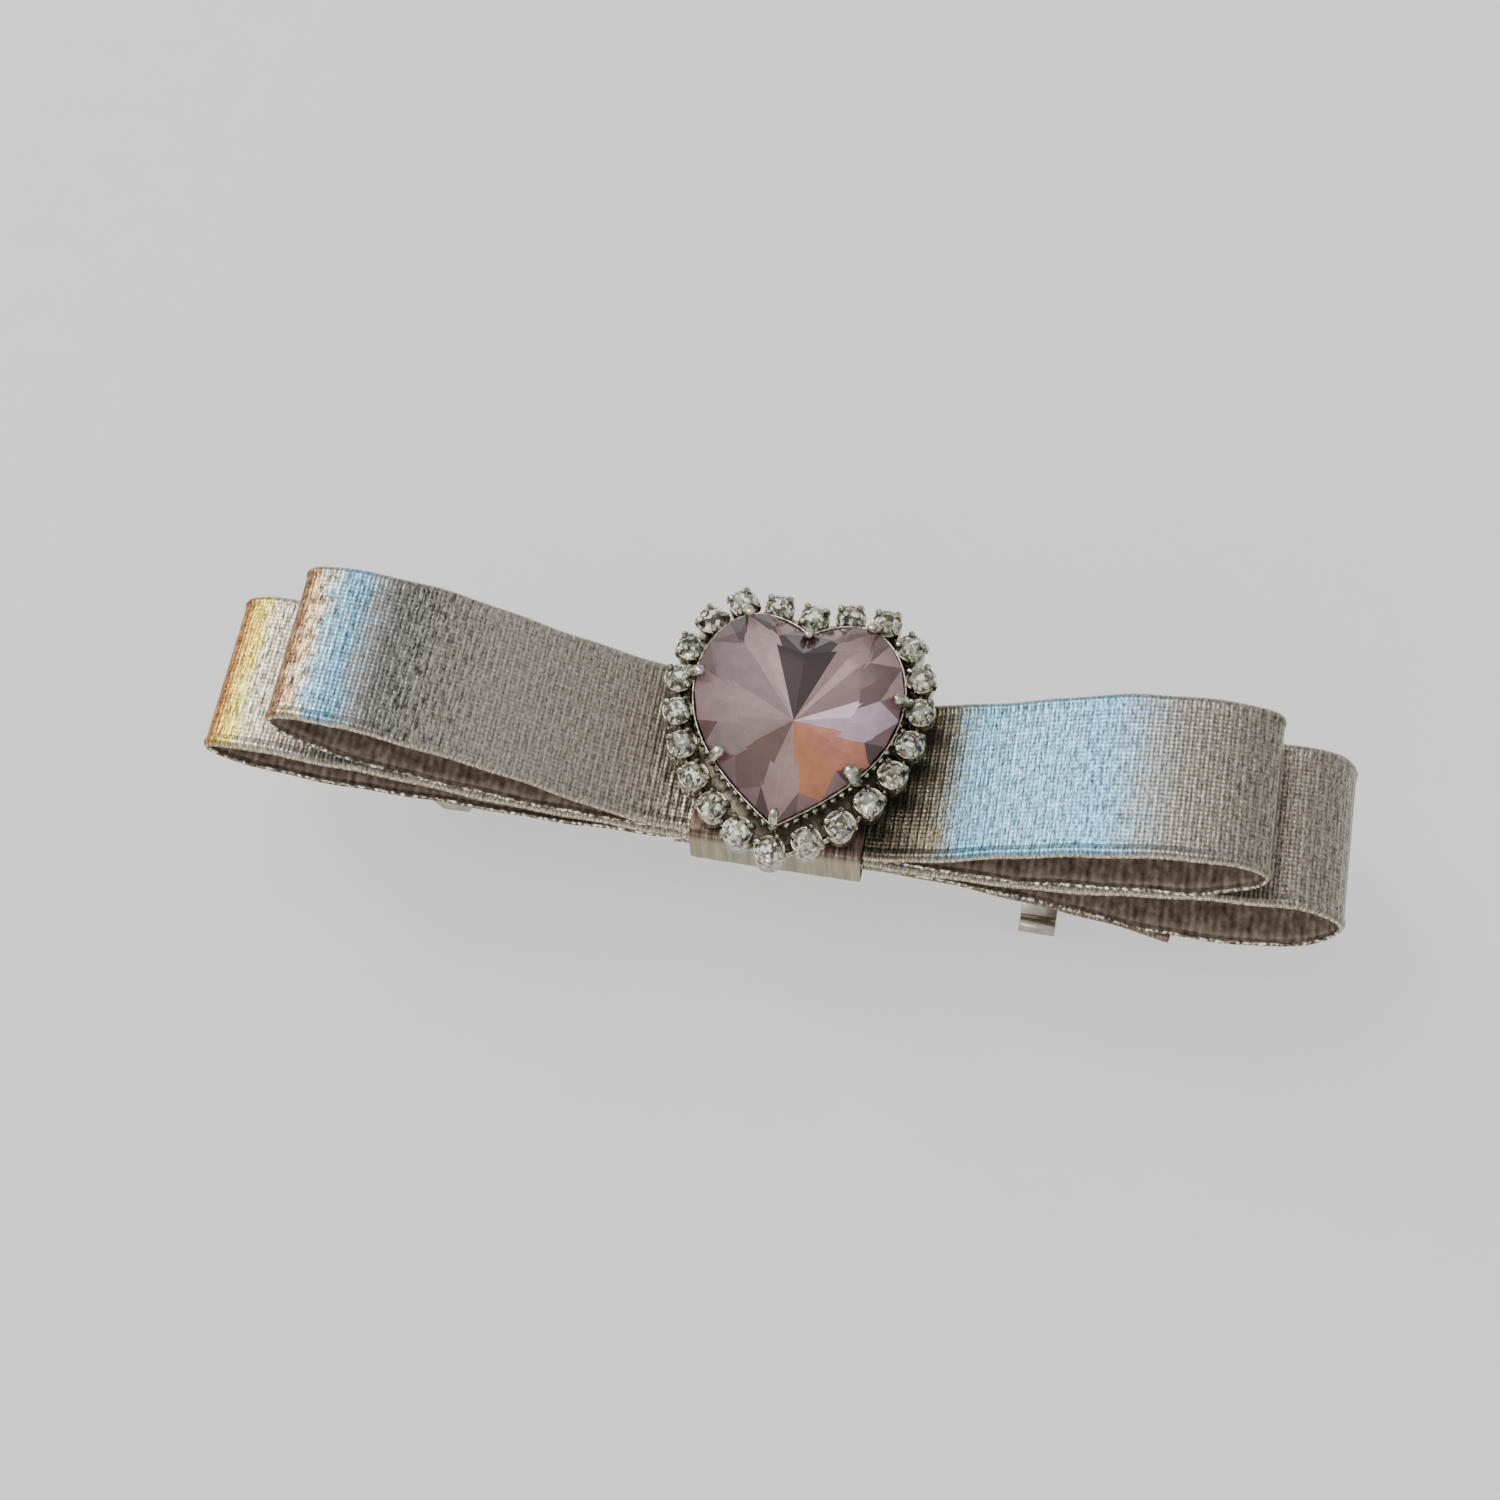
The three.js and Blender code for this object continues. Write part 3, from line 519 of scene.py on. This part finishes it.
def close_uv(obj, faces, ribs):
    """The last row of faces of a loop joins the first: its far corners count on instead of starting at 0."""
    layer = obj.data.uv_layers[0].data
    for face in faces.tolist():
        for corner in obj.data.polygons[face].loop_indices:
            if layer[corner].uv.x < 0.5:
                layer[corner].uv.x = ribs


def rounded_box(half_width, bottom, top, radius):
    """A box outline with quarter-circle corners, in y and z, anticlockwise."""
    turn = np.linspace(0, math.pi / 2, 12)
    corners = [(half_width - radius, top - radius, 0), (-half_width + radius, top - radius, 1),
               (-half_width + radius, bottom + radius, 2), (half_width - radius, bottom + radius, 3)]
    return np.vstack([np.stack([y + radius * np.cos(turn + k * math.pi / 2),
                                z + radius * np.sin(turn + k * math.pi / 2)], 1) for y, z, k in corners])


def wrap_band(finish):
    """The band: a rounded box outline in y and z carried along x. A product of a sine and a cosine gathers it
    lightly, and a high power of the distance across rolls its long edges under."""
    half = RIBBON_WIDTH / 2 + GAP + CAD_THICK / 2
    outline = rounded_box(half, BAND_BOTTOM + CAD_THICK / 2, BAND_TOP - CAD_THICK / 2, 0.9)
    points, out, walk, length = even_line(outline, 0.25, True)
    rolled = np.array([0.93, 0.97, 0.99, 1.0])
    across = np.concatenate([-rolled[::-1], np.linspace(-0.85, 0.85, 25), rolled])
    gather = 0.035 * np.sin(across * 21) * np.cos(across * 5)
    lift = -0.06 * np.abs(across) ** 20 - 0.04 + gather
    y = points[:, 0, None] - out[:, 0, None] * lift
    z = points[:, 1, None] - out[:, 1, None] * lift
    x = across[None, :] * (BAND_HALF - 0.2) + 0 * y
    uv = np.stack(np.broadcast_arrays(walk[:, None], x), 2).reshape(-1, 2)
    faces = grid_faces(len(walk), len(across), close_rows=True)
    obj = new_object("satin_band", np.stack([x, y, z], 2).reshape(-1, 3), faces, [finish], uvs=uv)
    shell = obj.modifiers.new("cloth", "SOLIDIFY")
    shell.thickness = BAND_THICK * MM
    shell.offset = 0.0
    return obj, length


# ------------------------------------------------------------------ cut stones
def cubic(a, b, c, d, count):
    """Points along a cubic Bezier curve, without its last."""
    t = np.linspace(0, 1, count, endpoint=False)[:, None]
    return (1 - t) ** 3 * a + 3 * (1 - t) ** 2 * t * b + 3 * (1 - t) * t * t * c + t ** 3 * d


def heart_outline(shares):
    """The heart from its point round the right side to the cleft and back down the left, at the given shares
    of its length."""
    right = np.array([[0, -8.3], [6.9, -3.4], [9.5, 0.6], [9.4, 5.4], [9.5, 8.6], [7.4, 12.4], [4.4, 12.4],
                      [2.9, 12.4], [0.9, 11.7], [0, 10.7]], float)
    left = (right * [-1, 1])[::-1]
    run = np.vstack([cubic(*half[i:i + 4], 80) for half in (right, left) for i in (0, 3, 6)])
    run = np.vstack([run, run[:1]])
    lengths = np.concatenate([[0], np.cumsum(np.hypot(*np.diff(run, axis=0).T))])
    return np.stack([np.interp(np.asarray(shares) * lengths[-1], lengths, run[:, k]) for k in range(2)], 1)


def even_shares(count):
    """The shares of a closed outline's length that cut it into equal steps."""
    return np.arange(count) / count


def cut_stone(name, outline, middle, heights, scales, painted_reflections, edge_painted_reflections, materials, body):
    """A brilliant cut on any outline of 2n points. Its crown has n table corners on the even points' rays and
    n break points on the odd ones; its back has n kites from the culet out to the even girdle points, and
    small facets between. heights are the culet, back break, girdle bottom, girdle top, crown break and table;
    scales those of the back break, crown break and table. painted_reflections has a colour for each back
    kite, and edge_painted_reflections those of the small facets beside them: painted reflections fixed on the
    facets."""
    n = len(outline) // 2
    culet_z, back_z, low_z, high_z, break_z, table_z = heights
    back_scale, break_scale, table_scale = scales
    even, odd = outline[0::2], outline[1::2]

    def ring(points, scale, z):
        return np.column_stack([middle + (points - middle) * scale, np.full(len(points), z)])

    points = np.vstack([ring(outline, 1, low_z), ring(outline, 1, high_z),
                        ring(odd, break_scale, break_z), ring(even, table_scale, table_z),
                        ring(odd, back_scale, back_z), [[*middle, culet_z]]])
    low, high, crown, table, back, culet = 0, 2 * n, 4 * n, 5 * n, 6 * n, 7 * n
    faces, slots, face_painted_reflections = [tuple(table + i for i in range(n))], [0], [painted_reflections[0]]
    for i in range(n):
        j, h = (i + 1) % n, (i - 1) % n
        e, o, e2 = 2 * i, 2 * i + 1, (2 * i + 2) % (2 * n)
        front = [(table + i, crown + i, table + j), (table + i, crown + h, high + e, crown + i),
                 (crown + i, high + e, high + o), (crown + i, high + o, high + e2),
                 (low + e, low + o, high + o, high + e), (low + o, low + e2, high + e2, high + o)]
        rear = [(culet, back + i, low + e, back + h),
                (back + i, low + o, low + e), (back + i, low + e2, low + o)]
        faces += front + rear
        slots += [0] * len(front) + [1] * len(rear)
        mixed = [painted_reflections[(i + k) % len(painted_reflections)] for k in (0, 1, 3, 5, 2, 4)]
        face_painted_reflections += mixed + [painted_reflections[i % len(painted_reflections)], edge_painted_reflections[i % len(edge_painted_reflections)],
                            edge_painted_reflections[(i + 1) % len(edge_painted_reflections)]]
    obj = new_object(name, points, faces, materials, slots=slots, smooth=False)
    # each face's painted reflection, kept on its corners
    layer = obj.data.color_attributes.new("facet_painted_reflection", "FLOAT_COLOR", "CORNER")
    per_corner = [linear(face_painted_reflections[face.index]) for face in obj.data.polygons for _ in face.loop_indices]
    layer.data.foreach_set("color", np.asarray(per_corner, np.float32).ravel())
    outward(obj)
    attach(obj, body)
    return obj


# ------------------------------------------------------------------ settings
def ring_at(outline, z, scale, margin):
    """The heart outline at a height, scaled about its middle and moved out square to itself."""
    along = np.roll(outline, -1, 0) - np.roll(outline, 1, 0)
    along /= np.linalg.norm(along, axis=1, keepdims=True)
    out = np.stack([along[:, 1], -along[:, 0]], 1)
    flat = HEART_MIDDLE + (outline - HEART_MIDDLE) * scale + margin * out
    return np.column_stack([flat, np.full(len(flat), z)])


def heart_setting(finish):
    """The cast cup: heart-shaped rings up its flared outside, over a rolled rim and down to the seat inside,
    closed under the stone, with round claws that rise from the rim and bend in over the crown."""
    outline = heart_outline(even_shares(96))
    levels = [(SEAT, 0.80, 0.0), (SEAT + 0.1, 0.84, 0.0), (SEAT + 1.4, 0.93, 0.1),      # flare
              (GIRDLE - 0.6, 0.985, 0.14), (GIRDLE - 0.35, 1.0, 0.22), (GIRDLE - 0.2, 1.0, 0.24),
              (GIRDLE - 0.13, 1.0, 0.18), (GIRDLE - 0.2, 1.0, 0.08),                      # rolled rim
              (GIRDLE - 0.5, 0.99, -0.1), (SEAT + 0.5, 0.3, 0.1)]                         # inside
    wall = np.vstack([ring_at(outline, *level) for level in levels])
    count = len(outline)
    faces = [tuple(f[::-1]) for f in grid_faces(len(levels), count, close_columns=True)]
    top = (len(levels) - 1) * count
    wall = np.vstack([wall, [[*HEART_MIDDLE, SEAT]], [[*HEART_MIDDLE, SEAT + 0.5]]])
    base, seat = len(wall) - 2, len(wall) - 1
    faces += [(base, (i + 1) % count, i) for i in range(count)]
    faces += [(seat, top + i, top + (i + 1) % count) for i in range(count)]
    parts = [(wall, faces)]
    places = heart_outline(even_shares(1000))
    bend = [(0.18, -0.6), (-0.3, -0.2), (-0.42, 0.3), (-0.28, 0.75), (0.1, 1.1), (0.5, 1.32), (0.85, 1.42)]
    radii = np.array([0.3, 0.4, 0.44, 0.46, 0.5, 0.5, 0.3])
    for share, size in CLAWS:
        at = places[int(share * 1000) % 1000]
        inward = HEART_MIDDLE - at
        inward /= np.linalg.norm(inward)
        path = [[*(at + inward * reach), GIRDLE + rise] for reach, rise in bend]
        parts.append(tube(path, size * radii, 10, flat=0.8))
    parts += beaded_rail()
    points, faces = merged(parts)
    obj = new_object("claw_setting", points, faces, [finish])
    outward(obj)
    return obj


def beaded_rail():
    """Grains round the foot of the cup's flare: each a point over a six-sided ring over another ring over a
    point, 64 of them in equal steps of the outline."""
    rail = ring_at(heart_outline(even_shares(64)), SEAT + 1.75, 0.955, 0.42)
    turn = np.linspace(0, 2 * math.pi, 6, endpoint=False)
    high, low, radius = 0.22, -0.22, 0.36
    bead = np.vstack([[[0, 0, 0.42]]] + [np.stack([radius * np.cos(turn + k), radius * np.sin(turn + k),
                                                  0 * turn + z], 1) for k, z in ((0, high), (0, low))]
                     + [[[0, 0, -0.42]]])
    faces = [(0, 1 + i, 1 + (i + 1) % 6) for i in range(6)]
    faces += [(1 + i, 7 + i, 7 + (i + 1) % 6, 1 + (i + 1) % 6) for i in range(6)]
    faces += [(13, 7 + (i + 1) % 6, 7 + i) for i in range(6)]
    return [(bead + at, faces) for at in rail]


def cup(x, y, turn):
    """One chain cup: a profile turned round its axis (outside, rim and inside), with four round prongs
    bent over the stone."""
    sides = 20
    profile = np.array([[0.0, 0.0], [1.1, 0.0], [1.32, 0.12], [1.38, 1.2], [1.44, 2.1],
                        [1.38, 2.24], [1.24, 2.2], [1.12, 1.4], [0.6, 0.5], [0.0, 0.4]])
    angle = np.linspace(0, 2 * math.pi, sides, endpoint=False) + turn
    inner = profile[1:-1]
    body = np.stack([inner[:, 0, None] * np.cos(angle) + x, inner[:, 0, None] * np.sin(angle) + y,
                     inner[:, 1, None] + SEAT + 0 * angle], 2).reshape(-1, 3)
    faces = [tuple(f[::-1]) for f in grid_faces(len(inner), sides, close_columns=True)]
    body = np.vstack([body, [[x, y, SEAT], [x, y, SEAT + profile[-1, 1]]]])
    base, floor = len(body) - 2, len(body) - 1
    top = (len(inner) - 1) * sides
    faces += [(base, (i + 1) % sides, i) for i in range(sides)]
    faces += [(floor, top + i, top + (i + 1) % sides) for i in range(sides)]
    parts = [(body, faces)]
    for corner in range(4):
        lean = turn + math.pi / 4 + corner * math.pi / 2
        out = np.array([math.cos(lean), math.sin(lean)])
        path = [[*(out * reach + [x, y]), SEAT + rise] for reach, rise in
                ((1.4, 1.5), (1.42, 2.1), (1.34, 2.48), (1.12, 2.72), (0.9, 2.74))]
        parts.append(tube(path, [0.18, 0.27, 0.3, 0.3, 0.18], 8))
    return parts


def cup_chain(finish):
    """The closed chain: a cup under every stone and a flattened link between each two."""
    centres = []
    for name in STONES:
        low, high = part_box(name)
        centres.append([((low.x + high.x) / 2 - MIDDLE[0]) / MM, ((low.y + high.y) / 2 - MIDDLE[1]) / MM])
    centres = np.array(centres)
    parts = []
    for here, after in zip(centres, np.roll(centres, -1, 0)):
        parts += cup(*here, math.atan2(*(after - here)[::-1]))
        line = np.linspace(here, after, 4)
        parts.append(tube(np.column_stack([line, np.full(4, SEAT + 0.3)]), [0.3] * 4, 8, flat=0.6))
    points, faces = merged(parts)
    obj = new_object("rhinestone_cups", points, faces, [finish])
    return obj, centres


def finer_copy(node, name, finish, width, body):
    """A copy of a stamped CAD piece with its edges rounded over by width mm."""
    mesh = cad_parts[node].data.copy()
    work = bmesh.new()
    work.from_mesh(mesh)
    bmesh.ops.remove_doubles(work, verts=work.verts, dist=1e-6)
    bmesh.ops.dissolve_limit(work, angle_limit=math.radians(1.0), verts=work.verts, edges=work.edges)
    work.to_mesh(mesh)
    work.free()
    mesh.materials.clear()
    mesh.materials.append(finish)
    mesh.name = name
    mesh.polygons.foreach_set("use_smooth", np.full(len(mesh.polygons), True))
    obj = bpy.data.objects.new(name, mesh)
    bpy.context.scene.collection.objects.link(obj)
    bevel = obj.modifiers.new("rounded_edges", "BEVEL")
    bevel.width = width * MM
    bevel.segments = 2
    bevel.limit_method = "ANGLE"
    bevel.angle_limit = math.radians(40)
    bevel.harden_normals = True
    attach(obj, body)
    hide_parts(node)
    return obj


# ------------------------------------------------------------------ camera and light
def set_camera():
    """A long lens above and in front of the bow, turned a little to its right."""
    azimuth, elevation, roll = (math.radians(a) for a in (14.0, 63.365, -4.155))
    distance, shift_right, shift_up = 232.65, -3.68, 1.44
    back = np.array([math.sin(azimuth) * math.cos(elevation), -math.cos(azimuth) * math.cos(elevation),
                     math.sin(elevation)])
    level = np.array([math.cos(azimuth), math.sin(azimuth), 0.0])
    tall = np.cross(back, level)
    right = math.cos(roll) * level + math.sin(roll) * tall
    up = -math.sin(roll) * level + math.cos(roll) * tall
    data = bpy.data.cameras.new("camera")
    data.sensor_width = 36
    data.lens = 61.32
    data.clip_start = 0.01
    camera = bpy.data.objects.new("camera", data)
    at = place(distance * back + shift_right * right + shift_up * up + [0, 0, RIBBON_TOP])
    camera.matrix_world = Matrix((
        (right[0], up[0], back[0], at[0]), (right[1], up[1], back[1], at[1]),
        (right[2], up[2], back[2], at[2]), (0, 0, 0, 1)))
    bpy.context.scene.collection.objects.link(camera)
    bpy.context.scene.camera = camera


def lamp(name, at, size, power, colour="#ffffff"):
    """A square soft box aimed at the bow."""
    data = bpy.data.lights.new(name, "AREA")
    data.size = size
    data.energy = power
    data.color = linear(colour)[:3]
    obj = bpy.data.objects.new(name, data)
    obj.location = at
    obj.rotation_euler = (Vector((0, 0, 0.015)) - Vector(at)).to_track_quat("-Z", "Y").to_euler()
    bpy.context.scene.collection.objects.link(obj)


def set_light():
    """An even pale room, a large soft box overhead, a smaller one behind on the left, a weak one in front."""
    world = bpy.data.worlds.new("studio")
    world.use_nodes = True
    world.node_tree.nodes["Background"].inputs["Color"].default_value = linear("#eceef2")
    world.node_tree.nodes["Background"].inputs["Strength"].default_value = 0.98
    bpy.context.scene.world = world
    lamp("overhead", (-0.36, 0.12, 0.80), 0.55, 4.4, "#fffcf6")
    lamp("left_back", (-0.50, 0.34, 0.46), 0.22, 1.6, "#fff8ee")
    lamp("front", (-0.10, -0.55, 0.30), 0.25, 0.6)


def set_floor():
    """A flat square sheet under the clip."""
    mesh = bpy.data.meshes.new("floor")
    side = 1.5
    corners = [(-side, -side, 0), (side, -side, 0), (side, side, 0), (-side, side, 0)]
    mesh.from_pydata(corners, [], [(0, 1, 2, 3)])
    mesh.materials.append(backdrop())
    floor = bpy.data.objects.new("floor", mesh)
    bpy.context.scene.collection.objects.link(floor)


# ------------------------------------------------------------------ the barrette
GREY = "#c2bdb5"
# the ribbon's tone along each loop, with painted reflections (the blue, orange and yellow bands) and painted
# shade
UPPER_TONES_AND_PAINTED_LIGHT = [(-46, "#96643e", 0.6), (-44.8, "#d6a675", 1.0), (-43.2, "#e6d8bc", 1.0),
               (-42.0, "#b0e0ff", 0.6), (-40.0, "#8ad2ff", 0.6), (-38.2, "#b9c2c8", 0.2),
               (-36.5, "#949390", 0.3), (-34.5, "#a09d97", 1.0), (-32, "#b3aea5", 0.7),
               (-27, "#c6c1b8", 0.25), (-14, "#bdb7ac", 0.3), (-9.5, "#c8c1b4", 1.0),
               (9, "#6f6858", 0.5), (14, "#8a8573", 0.3), (17, "#86c8f0", 0.5), (21, "#9edcff", 0.6),
               (28, "#8ed2ff", 0.6), (31.5, "#aab6c0", 0.3), (34.5, "#a8a29d", 0.3), (43, "#b2ac9f", 0.45)]
LOWER_TONES_AND_PAINTED_LIGHT = [(-53, "#d28c4c", 0.6), (-51.9, "#eeb860", 0.7), (-50.6, "#ffef62", 0.7),
               (-49.5, "#f4eeda", 0.8), (-46, "#d8d4cc", 0.6), (-42, "#b7b2a8", 0.4), (-30, GREY, 0.3),
               (30, GREY, 0.3), (43, "#b3aca0", 0.4), (48, "#b6b0a4", 0.4), (51, "#c0b8a8", 0.4)]
TAIL_TINTS = [(-10, GREY, 0.3), (30, "#a89c8e", 0.3), (37, "#a88a7c", 0.3)]

# from the point of the heart up its right side to the cleft, and back down its left side
HEART_CUT = [0, 0.035, 0.075, 0.12, 0.16, 0.2, 0.245, 0.29, 0.33, 0.37, 0.4, 0.43,
             0.5, 0.57, 0.6, 0.63, 0.67, 0.71, 0.755, 0.8, 0.84, 0.88, 0.925, 0.965]
# painted reflections: a fixed colour for each facet of the heart and of the brilliants
HEART_PAINTED_REFLECTIONS = ["#c4a8a2", "#e39664", "#e49478", "#e6d4ee", "#7f6364", "#b49a9a",
               "#33100c", "#d6c1be", "#b7a2a3", "#cdb9b7", "#b9a4a3", "#8a6a64"]
HEART_EDGE_PAINTED_REFLECTIONS = ["#80605f", "#a58786", "#5b4040", "#93757a", "#c9b0ae"]
CRYSTAL_PAINTED_REFLECTIONS = ["#3b3a30", "#e6e2cf", "#8f8c78", "#f6f4ea", "#6a6756", "#cfcab4", "#a5a18c", "#fffef6"]


def make_bow():
    """Two loops, the loose end and the band, each one sheet of ribbon."""
    back, edge = lame_back(), edge_yarn()
    upper, upper_length = ribbon("upper_loop_ribbon", loop_line(UPPER_LOBES, UPPER_MID, upper_floor), True,
                                 RIBBON_WIDTH, [lame("silver_lame_upper", UPPER_TONES_AND_PAINTED_LIGHT), back, edge], seed=0.7)
    lower, lower_length = ribbon("lower_loop_ribbon", loop_line(LOWER_LOBES, LOWER_MID, lower_floor), True,
                                 RIBBON_WIDTH, [lame("silver_lame_lower", LOWER_TONES_AND_PAINTED_LIGHT), back, edge], seed=2.1)
    x = np.linspace(TAIL_LEFT, TAIL_RIGHT, 200)
    tail_line = np.stack([x, tail_height(x) - CAD_THICK / 2], 1)
    tail, tail_length = ribbon("loose_ribbon_end", tail_line, False, RIBBON_WIDTH - 0.4,
                               [lame("silver_lame_tail", TAIL_TINTS), back, edge], seed=4.0)
    band, band_length = wrap_band(satin_band())
    for piece, node, width, length, held, rests in (
            (upper, "upper_ribbon_loop", RIBBON_WIDTH, upper_length, "folded", ["lower_loop_ribbon"]),
            (lower, "lower_ribbon_loop", RIBBON_WIDTH, lower_length, "folded", ["loose_ribbon_end"]),
            (tail, "tail_ribbon", RIBBON_WIDTH - 0.4, tail_length, "laid", ["base_plate"]),
            (band, "wrap_band", 2 * BAND_HALF - 0.4, band_length, "stretched", ["upper_loop_ribbon"])):
        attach(piece, "bow")
        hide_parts(node)


def make_ornament():
    """The setting and its heart, the chain and its brilliants."""
    silver = plated_metal("cast_silver_plate", "#d3cdbc", "#6f6959", 0.16, 0.5)
    setting = heart_setting(silver)
    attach(setting, "bow")
    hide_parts("heart_setting")
    chain, centres = cup_chain(silver)
    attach(chain, "bow")
    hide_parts("cup_chain")
    heights = (GIRDLE - PAVILION, GIRDLE - 0.3 * PAVILION, GIRDLE - GIRDLE_HALF, GIRDLE + GIRDLE_HALF,
               GIRDLE + 0.6 * CROWN, GIRDLE + CROWN)
    heart = cut_stone("heart_cut_glass", heart_outline(HEART_CUT), HEART_MIDDLE, heights, (0.72, 0.82, 0.62),
                      HEART_PAINTED_REFLECTIONS, HEART_EDGE_PAINTED_REFLECTIONS,
                      [cut_glass("rose_lead_glass", "#fbf1f0"), facet_foil("rose_foil_painted_reflections", 0.3)], "bow")
    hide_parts("heart_stone")
    crystal = foiled_crystal()
    turn = np.linspace(0, 2 * math.pi, 16, endpoint=False)
    bottom, edge = SEAT + 0.6, SEAT + 2.1
    for i, (name, centre) in enumerate(zip(STONES, centres)):
        outline = centre + STONE_RADIUS * np.stack([np.cos(turn + i), np.sin(turn + i)], 1)
        painted_reflections = CRYSTAL_PAINTED_REFLECTIONS[i % 5:] + CRYSTAL_PAINTED_REFLECTIONS[:i % 5]
        stone = cut_stone(f"brilliant_{i + 1:02d}", outline, centre,
                          (bottom, bottom + 1.0, edge - 0.04, edge + 0.04, edge + 0.38, edge + 0.62),
                          (0.75, 0.82, 0.58), painted_reflections, painted_reflections, [crystal, crystal], "bow")
        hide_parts(name)


def make_clip():
    """The clip's stamped steel pieces and the ornament's back plate."""
    steel = plated_metal("nickel_plated_steel", "#b9b2a3", "#a29b8c", 0.22, 1.2)
    for node, body in (("base_plate", "bow"), ("hinge_pin", "bow"), ("latch_bracket", "bow"),
                       ("latch_rivet", "bow"), ("clasp_bar", "clasp"), ("tension_spring", "tension_leaf"),
                       ("latch_arm_front", "front_arm"), ("latch_arm_back", "back_arm")):
        finer_copy(node, f"{node}_plated", steel, 0.1, body)
    # the ornament's back plate in a darker, browner silver than the clip's steel
    dark_plate = plated_metal("dark_silver_plate", "#8a8271", "#413c31", 0.34, 0.7)
    back = finer_copy("ornament_back", "ornament_back_plate", dark_plate, 0.12, "bow")


set_camera()
make_bow()
make_ornament()
make_clip()
set_floor()
set_light()
